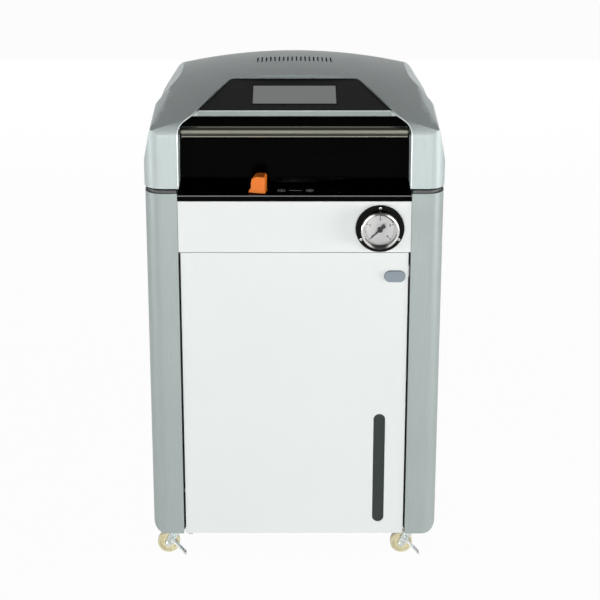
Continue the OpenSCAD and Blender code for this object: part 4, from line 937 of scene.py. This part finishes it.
VENT_Y, VENT_X, VENT_STEP, BAFFLE_DROP, ABOVE = (-16, 54), 66, 6, 4.4, 900
bm = bmesh.new()
rows = []
for y in VENT_Y:
    row = [hit((x, y, ABOVE), DOWN) for x in range(-VENT_X, VENT_X + 1, VENT_STEP)]
    rows.append([bm.verts.new((point - Vector((0, 0, BAFFLE_DROP))) * MM) for point in row])
for (a, b), (c, d) in zip(zip(rows[0], rows[0][1:]), zip(rows[1], rows[1][1:])):
    bm.faces.new((a, b, d, c))
bmesh.ops.solidify(bm, geom=bm.faces[:], thickness=0.8 * MM)
bmesh.ops.recalc_face_normals(bm, faces=bm.faces)
piece("vent_baffle", bm, vent_grey, lid_body)
print("mouth half width", round(MOUTH_X, 1), "strip from", round(strip_low, 1))

# %% [markdown]
# ## Casters
# Each wheel is a nylon moulding with a rounded tread, a thin web and a thick hub, so it is spun
# from its section. The fork's axle ends in hexagon nuts, and the brake pedal has three ribs that a
# shoe can feel.

# %% Casters
FORK_SIDE, PEDAL_SLOPE, PEDAL_RIBS = 3, 50, (21, 25.5, 30)
for side in CORNERS:
    low, high = low_high("caster_wheel_" + side)
    r, half = (high.z - low.z) / 2, (high.y - low.y) / 2
    middle = (low + high) / 2
    half_section = [(3.2, half - 0.2), (7.0, half - 0.2), (7.7, half - 1.4), (r - 5.6, half - 2.4),
                    (r - 4.4, half - 0.4), (r - 1.5, half - 0.2), (r - 0.4, half - 1.4),
                    (r, half - 4)]
    section = half_section + [(a, -h) for a, h in reversed(half_section)]
    bm = turned(bmesh.new(), section, tuple(middle), BACK, 56)
    piece("wheel_" + side, bm, wheel_cream, body_of["caster_wheel_" + side], 40,
          ("caster_wheel_" + side,))
    bm = bmesh.new()
    for facing, y in ((OUT, low.y - FORK_SIDE), (BACK, high.y + FORK_SIDE)):
        screw(bm, (middle.x, y, middle.z), facing, 4.6, 2.2, 6)
        washer(bm, 3.4, 5.4, 0.5, (middle.x, y, middle.z), facing, 24)
    piece("axle_nuts_" + side, bm, zinc, body_of["caster_fork_" + side], 30)
for side in ("left", "right"):
    low, high = low_high("brake_pedal_" + side)
    pivot = at(low.x + 4, 0, high.z - 4) @ Matrix.Rotation(math.radians(PEDAL_SLOPE), 4, "Y")
    bm = bmesh.new()
    for reach in PEDAL_RIBS:
        box(bm, (reach, low.y + 1, 1), (reach + 1.6, high.y - 1, 1.9), pivot)
    piece("pedal_ribs_" + side, bm, zinc, body_of["brake_pedal_" + side])
    refined("brake_pedal_" + side, 0.4)
    refined("caster_fork_front_" + side, 0.35)
    refined("caster_fork_rear_" + side, 0.35)
print("wheels, nuts and pedals done")

# %% [markdown]
# ## Screws and guards on the sheet metal
# The rear panel comes off for service, so it is screwed on all round. The fan has a wire guard of
# rings on four spokes, so that no finger reaches the blades.

# %% Rear and side fixings
FROM_SIDE, FROM_END, SIDE_ROW, MIDDLE_X = 9, 12, 6, 70
PLATE_X, PLATE_Z, PLATE_HALF = (93.6, 146.4), (6, 22), 7
SIDE_X, SIDE_Y, SIDE_Z = 238.95, 262, (90, 250, 410, 570)
low, high = low_high("rear_panel")
row = (high.z - low.z - 2 * FROM_END) / (SIDE_ROW - 1)
bm = bmesh.new()
for x in (low.x + FROM_SIDE, high.x - FROM_SIDE):
    for k in range(SIDE_ROW):
        screw(bm, (x, high.y, low.z + FROM_END + k * row), BACK, 3.6, 2.2)
for x in (-MIDDLE_X, MIDDLE_X):
    for z in (low.z + FROM_END, high.z - FROM_END):
        screw(bm, (x, high.y, z), BACK, 3.6, 2.2)
bracket_low = low_high("hinge_brackets")[0]
for side in (-1, 1):
    for centre in PLATE_X:
        for up in PLATE_Z:
            for dx in (-PLATE_HALF, PLATE_HALF):
                spot = (side * centre + dx, bracket_low.y + 3, bracket_low.z + up)
                screw(bm, spot, BACK, 3.0, 2.4)
piece("rear_screws", bm, zinc, "cabinet", 30)
bm = bmesh.new()
for x, facing in ((-SIDE_X, LEFT), (SIDE_X, RIGHT)):
    for z in SIDE_Z:
        screw(bm, (x, SIDE_Y, z), facing, 4.0, 0.95)
piece("side_screws", bm, zinc, "cabinet", 30)

GUARD_RINGS, GUARD_STEPS, SPOKES, SPOKE_ENDS = (9, 17, 25, 33, 41), 48, 4, (8, 56)
fan_low, fan_high = low_high("fan_frame")
fan = (fan_low + fan_high) / 2
guard_y = high.y + 1.6


def on_guard(r, a, y):
    """A point on a ring round the fan's axis."""
    return (fan.x + r * math.cos(a), y, fan.z + r * math.sin(a))


bm = bmesh.new()
for r in GUARD_RINGS:
    ring = [on_guard(r, math.tau * k / GUARD_STEPS, guard_y) for k in range(GUARD_STEPS)]
    wire(bm, ring, 0.9, True)
for k in range(SPOKES):
    a = math.tau * k / SPOKES + math.pi / 4
    wire(bm, [on_guard(r, a, guard_y + 1.2) for r in SPOKE_ENDS], 1.1)
    screw(bm, on_guard(SPOKE_ENDS[1], a, high.y), BACK, 4.2, 3.4)
piece("fan_guard", bm, polished, "cabinet", 40)
print("guard radius", GUARD_RINGS[-1], "mm at y", round(guard_y, 1))

# %% [markdown]
# ## Hinge springs
# Two torsion springs on the hinge pin carry part of the lid's weight. Each is a helix of round wire
# with one straight leg on the rear panel.

# %% Hinge springs
low, high = low_high("hinge_pin")
pin = (low + high) / 2
COILS, COIL_STEPS, COIL_R, PITCH, COIL_X, LEG = 11, 20, 5.6, 3.0, 44, 36
bm = bmesh.new()
for side in (-1, 1):
    turns = []
    for k in range(COILS * COIL_STEPS + 1):
        a = math.tau * k / COIL_STEPS
        turns.append((side * (COIL_X + PITCH * k / COIL_STEPS), pin.y - COIL_R * math.cos(a),
                      pin.z + COIL_R * math.sin(a)))
    leg = (turns[0][0], bracket_low.y + 1.0, pin.z - LEG)
    wire(bm, [leg] + turns, 1.1)
piece("hinge_springs", bm, dark_iron, "cabinet", 50)
print("springs:", COILS, "coils each")

# %% [markdown]
# ## Bolts of the lock
# Each claw is held on its spacer block by two bolts, so that a worn one can be changed. The
# pressure lid hangs from the lid's frame by one large nut, and flat screws hold the cover below.

# %% Lock bolts
CLAWS, CLAW_SHIFT, CLAW_LEAN, BOLT_R = 6, -13, 5.5, 214
NUT_R, NUT_HIGH, COVER_X, COVER_Y = 13, 7.5, 226, (-215, -60, 100, 250)
bm = bmesh.new()
for claw in range(CLAWS):
    for lean in (-CLAW_LEAN, CLAW_LEAN):
        spot = around(AXIS, BOLT_R, claw * 360 / CLAWS + CLAW_SHIFT + lean, ring_high.z)
        washer(bm, 0, 5.6, 0.8, spot, UP, 24)
        screw(bm, spot, UP, 4.4, 3.6, 6)
piece("claw_bolts", bm, zinc, body_of["lock_ring"], 30)
lid_top = low_high("pressure_lid")[1].z
nut = [(0, 0), (NUT_R, 0), (NUT_R, NUT_HIGH - 1.5), (NUT_R - 1.5, NUT_HIGH), (0, NUT_HIGH)]
bm = turned(bmesh.new(), nut, (*AXIS, lid_top), UP, 6)
screw(bm, (*AXIS, lid_top + NUT_HIGH), UP, 7, 5)
piece("lid_nut", bm, zinc, body_of["lid_frame"], 30)
bm = bmesh.new()
for x in (-COVER_X, COVER_X):
    for y in COVER_Y:
        screw(bm, (x, y, low_high("lid_base_cover")[0].z), DOWN, 3.4, 0.9)
piece("base_cover_screws", bm, zinc, body_of["lid_base_cover"], 30)
print("claw bolts:", 2 * CLAWS)

# %% [markdown]
# ## Inside the cabinet
# Behind the door are the drain valve, the exhaust bottle and the lagged chamber. Three steel straps
# with buckles hold the lagging, the bottle has graduation marks and a ribbed cap, and the valve's
# ends are hexagons for a spanner.

# %% Inside
low, high = low_high("chamber_jacket")
jacket_r = (high.x - low.x) / 2
STRAPS, STRAP_HALF, BUCKLE_X = (0.12, 0.5, 0.88), 9, 60
bm = bmesh.new()
for share in STRAPS:
    z = low.z + share * (high.z - low.z)
    near, far = jacket_r + 0.05, jacket_r + 0.9
    turned(bm, [(near, -STRAP_HALF), (far, -STRAP_HALF), (far, STRAP_HALF), (near, STRAP_HALF)],
           (*AXIS, z), UP, 96)
    x, front = AXIS[0] - BUCKLE_X, jacket_r * math.cos(math.asin(BUCKLE_X / jacket_r))
    box(bm, (-14, -12, -0.5), (14, 12, 2.2), stand((x, AXIS[1] - front - 0.6, z), OUT))
    screw(bm, (x, AXIS[1] - jacket_r + 8.8, z), OUT, 4, 3.2, 6)
piece("jacket_straps", bm, steel_x, "cabinet", 30)

low, high = low_high("exhaust_bottle")
bottle = ((low.x + high.x) / 2, (low.y + high.y) / 2)
SCALE_MARKS, SCALE_FOOT, SCALE_STEP, LONG_MARK, SHORT_MARK = 11, 25, 14, 5, 3
SCALE_START, DASH_TURN, CAP_RIBS = -112, 4.2, 36


def on_bottle(r, degrees, z):
    """A frame on a round wall, with its z facing away from the bottle's axis."""
    return stand(around(bottle, r, degrees, z), around((0, 0), 1, degrees, 0))


bm = bmesh.new()
for k in range(SCALE_MARKS):
    for dash in range(LONG_MARK if k % 5 == 0 else SHORT_MARK):
        spot = on_bottle((high.x - low.x) / 2 - 0.1, SCALE_START + DASH_TURN * dash,
                         low.z + SCALE_FOOT + SCALE_STEP * k)
        box(bm, (-1.4, -0.4, 0), (1.4, 0.4, 0.3), spot)
piece("bottle_marks", bm, mark_black, "cabinet")
low, high = low_high("exhaust_bottle_cap")
bm = bmesh.new()
for rib in range(CAP_RIBS):
    spot = on_bottle((high.x - low.x) / 2 - 0.3, 360 / CAP_RIBS * rib, low.z + 1.5)
    box(bm, (-0.7, 0, 0), (0.7, high.z - low.z - 3, 1.0), spot)
piece("cap_ribs", bm, black_rubber, "cabinet")

low, high = low_high("drain_valve")
HEXAGON = 12
pipe_z = low_high("drain_pipe")[0].z + 12
bm = bmesh.new()
for x in (low.x, high.x - HEXAGON):
    washer(bm, 6, 17, HEXAGON, (x, (low.y + high.y) / 2, pipe_z), RIGHT, 6)
piece("valve_hexagons", bm, brass, "cabinet", 30)
bm = screw(bmesh.new(), ((low.x + high.x) / 2, (low.y + high.y) / 2, high.z - 3), UP, 5, 3.5, 6)
piece("valve_lever_nut", bm, zinc, body_of["drain_lever"], 30)
print("inside: jacket radius", round(jacket_r, 1), "pipe z", round(pipe_z, 1))

# %% [markdown]
# ## Basket handles and weld
# Two wire bows lie on the basket's rim and lift it out. A weld bead runs round the foot of the
# chamber's wall.

# %% Basket and chamber
low, high = low_high("wire_basket")
basket_r = (high.x - low.x) / 2
BOW_STEPS, BOW_START, BOW_TURN, BOW_IN = 30, 12, 5.2, 9
bm = bmesh.new()
for side in (-1, 1):
    turns = [side * (BOW_START + BOW_TURN * k) for k in range(BOW_STEPS + 1)]
    bow = [around(AXIS, basket_r - BOW_IN, a, high.z + 2.2) for a in turns]
    wire(bm, bow, 2.0)
    for end in (bow[0], bow[-1]):
        turned(bm, [(2.2, -2), (4.2, -2), (4.2, 2), (2.2, 2)], end, RIGHT, 20)
piece("basket_handles", bm, steel_x, body_of["wire_basket"], 40)
weld = [(172.4, 130.2), (175, 130.2), (175, 132.8), (174.2, 132.2), (173.0, 131.0)]
bm = turned(bmesh.new(), weld, (*AXIS, 0), UP, 96)
piece("chamber_weld", bm, pressed, "cabinet", 40)
print("basket radius", round(basket_r, 1))
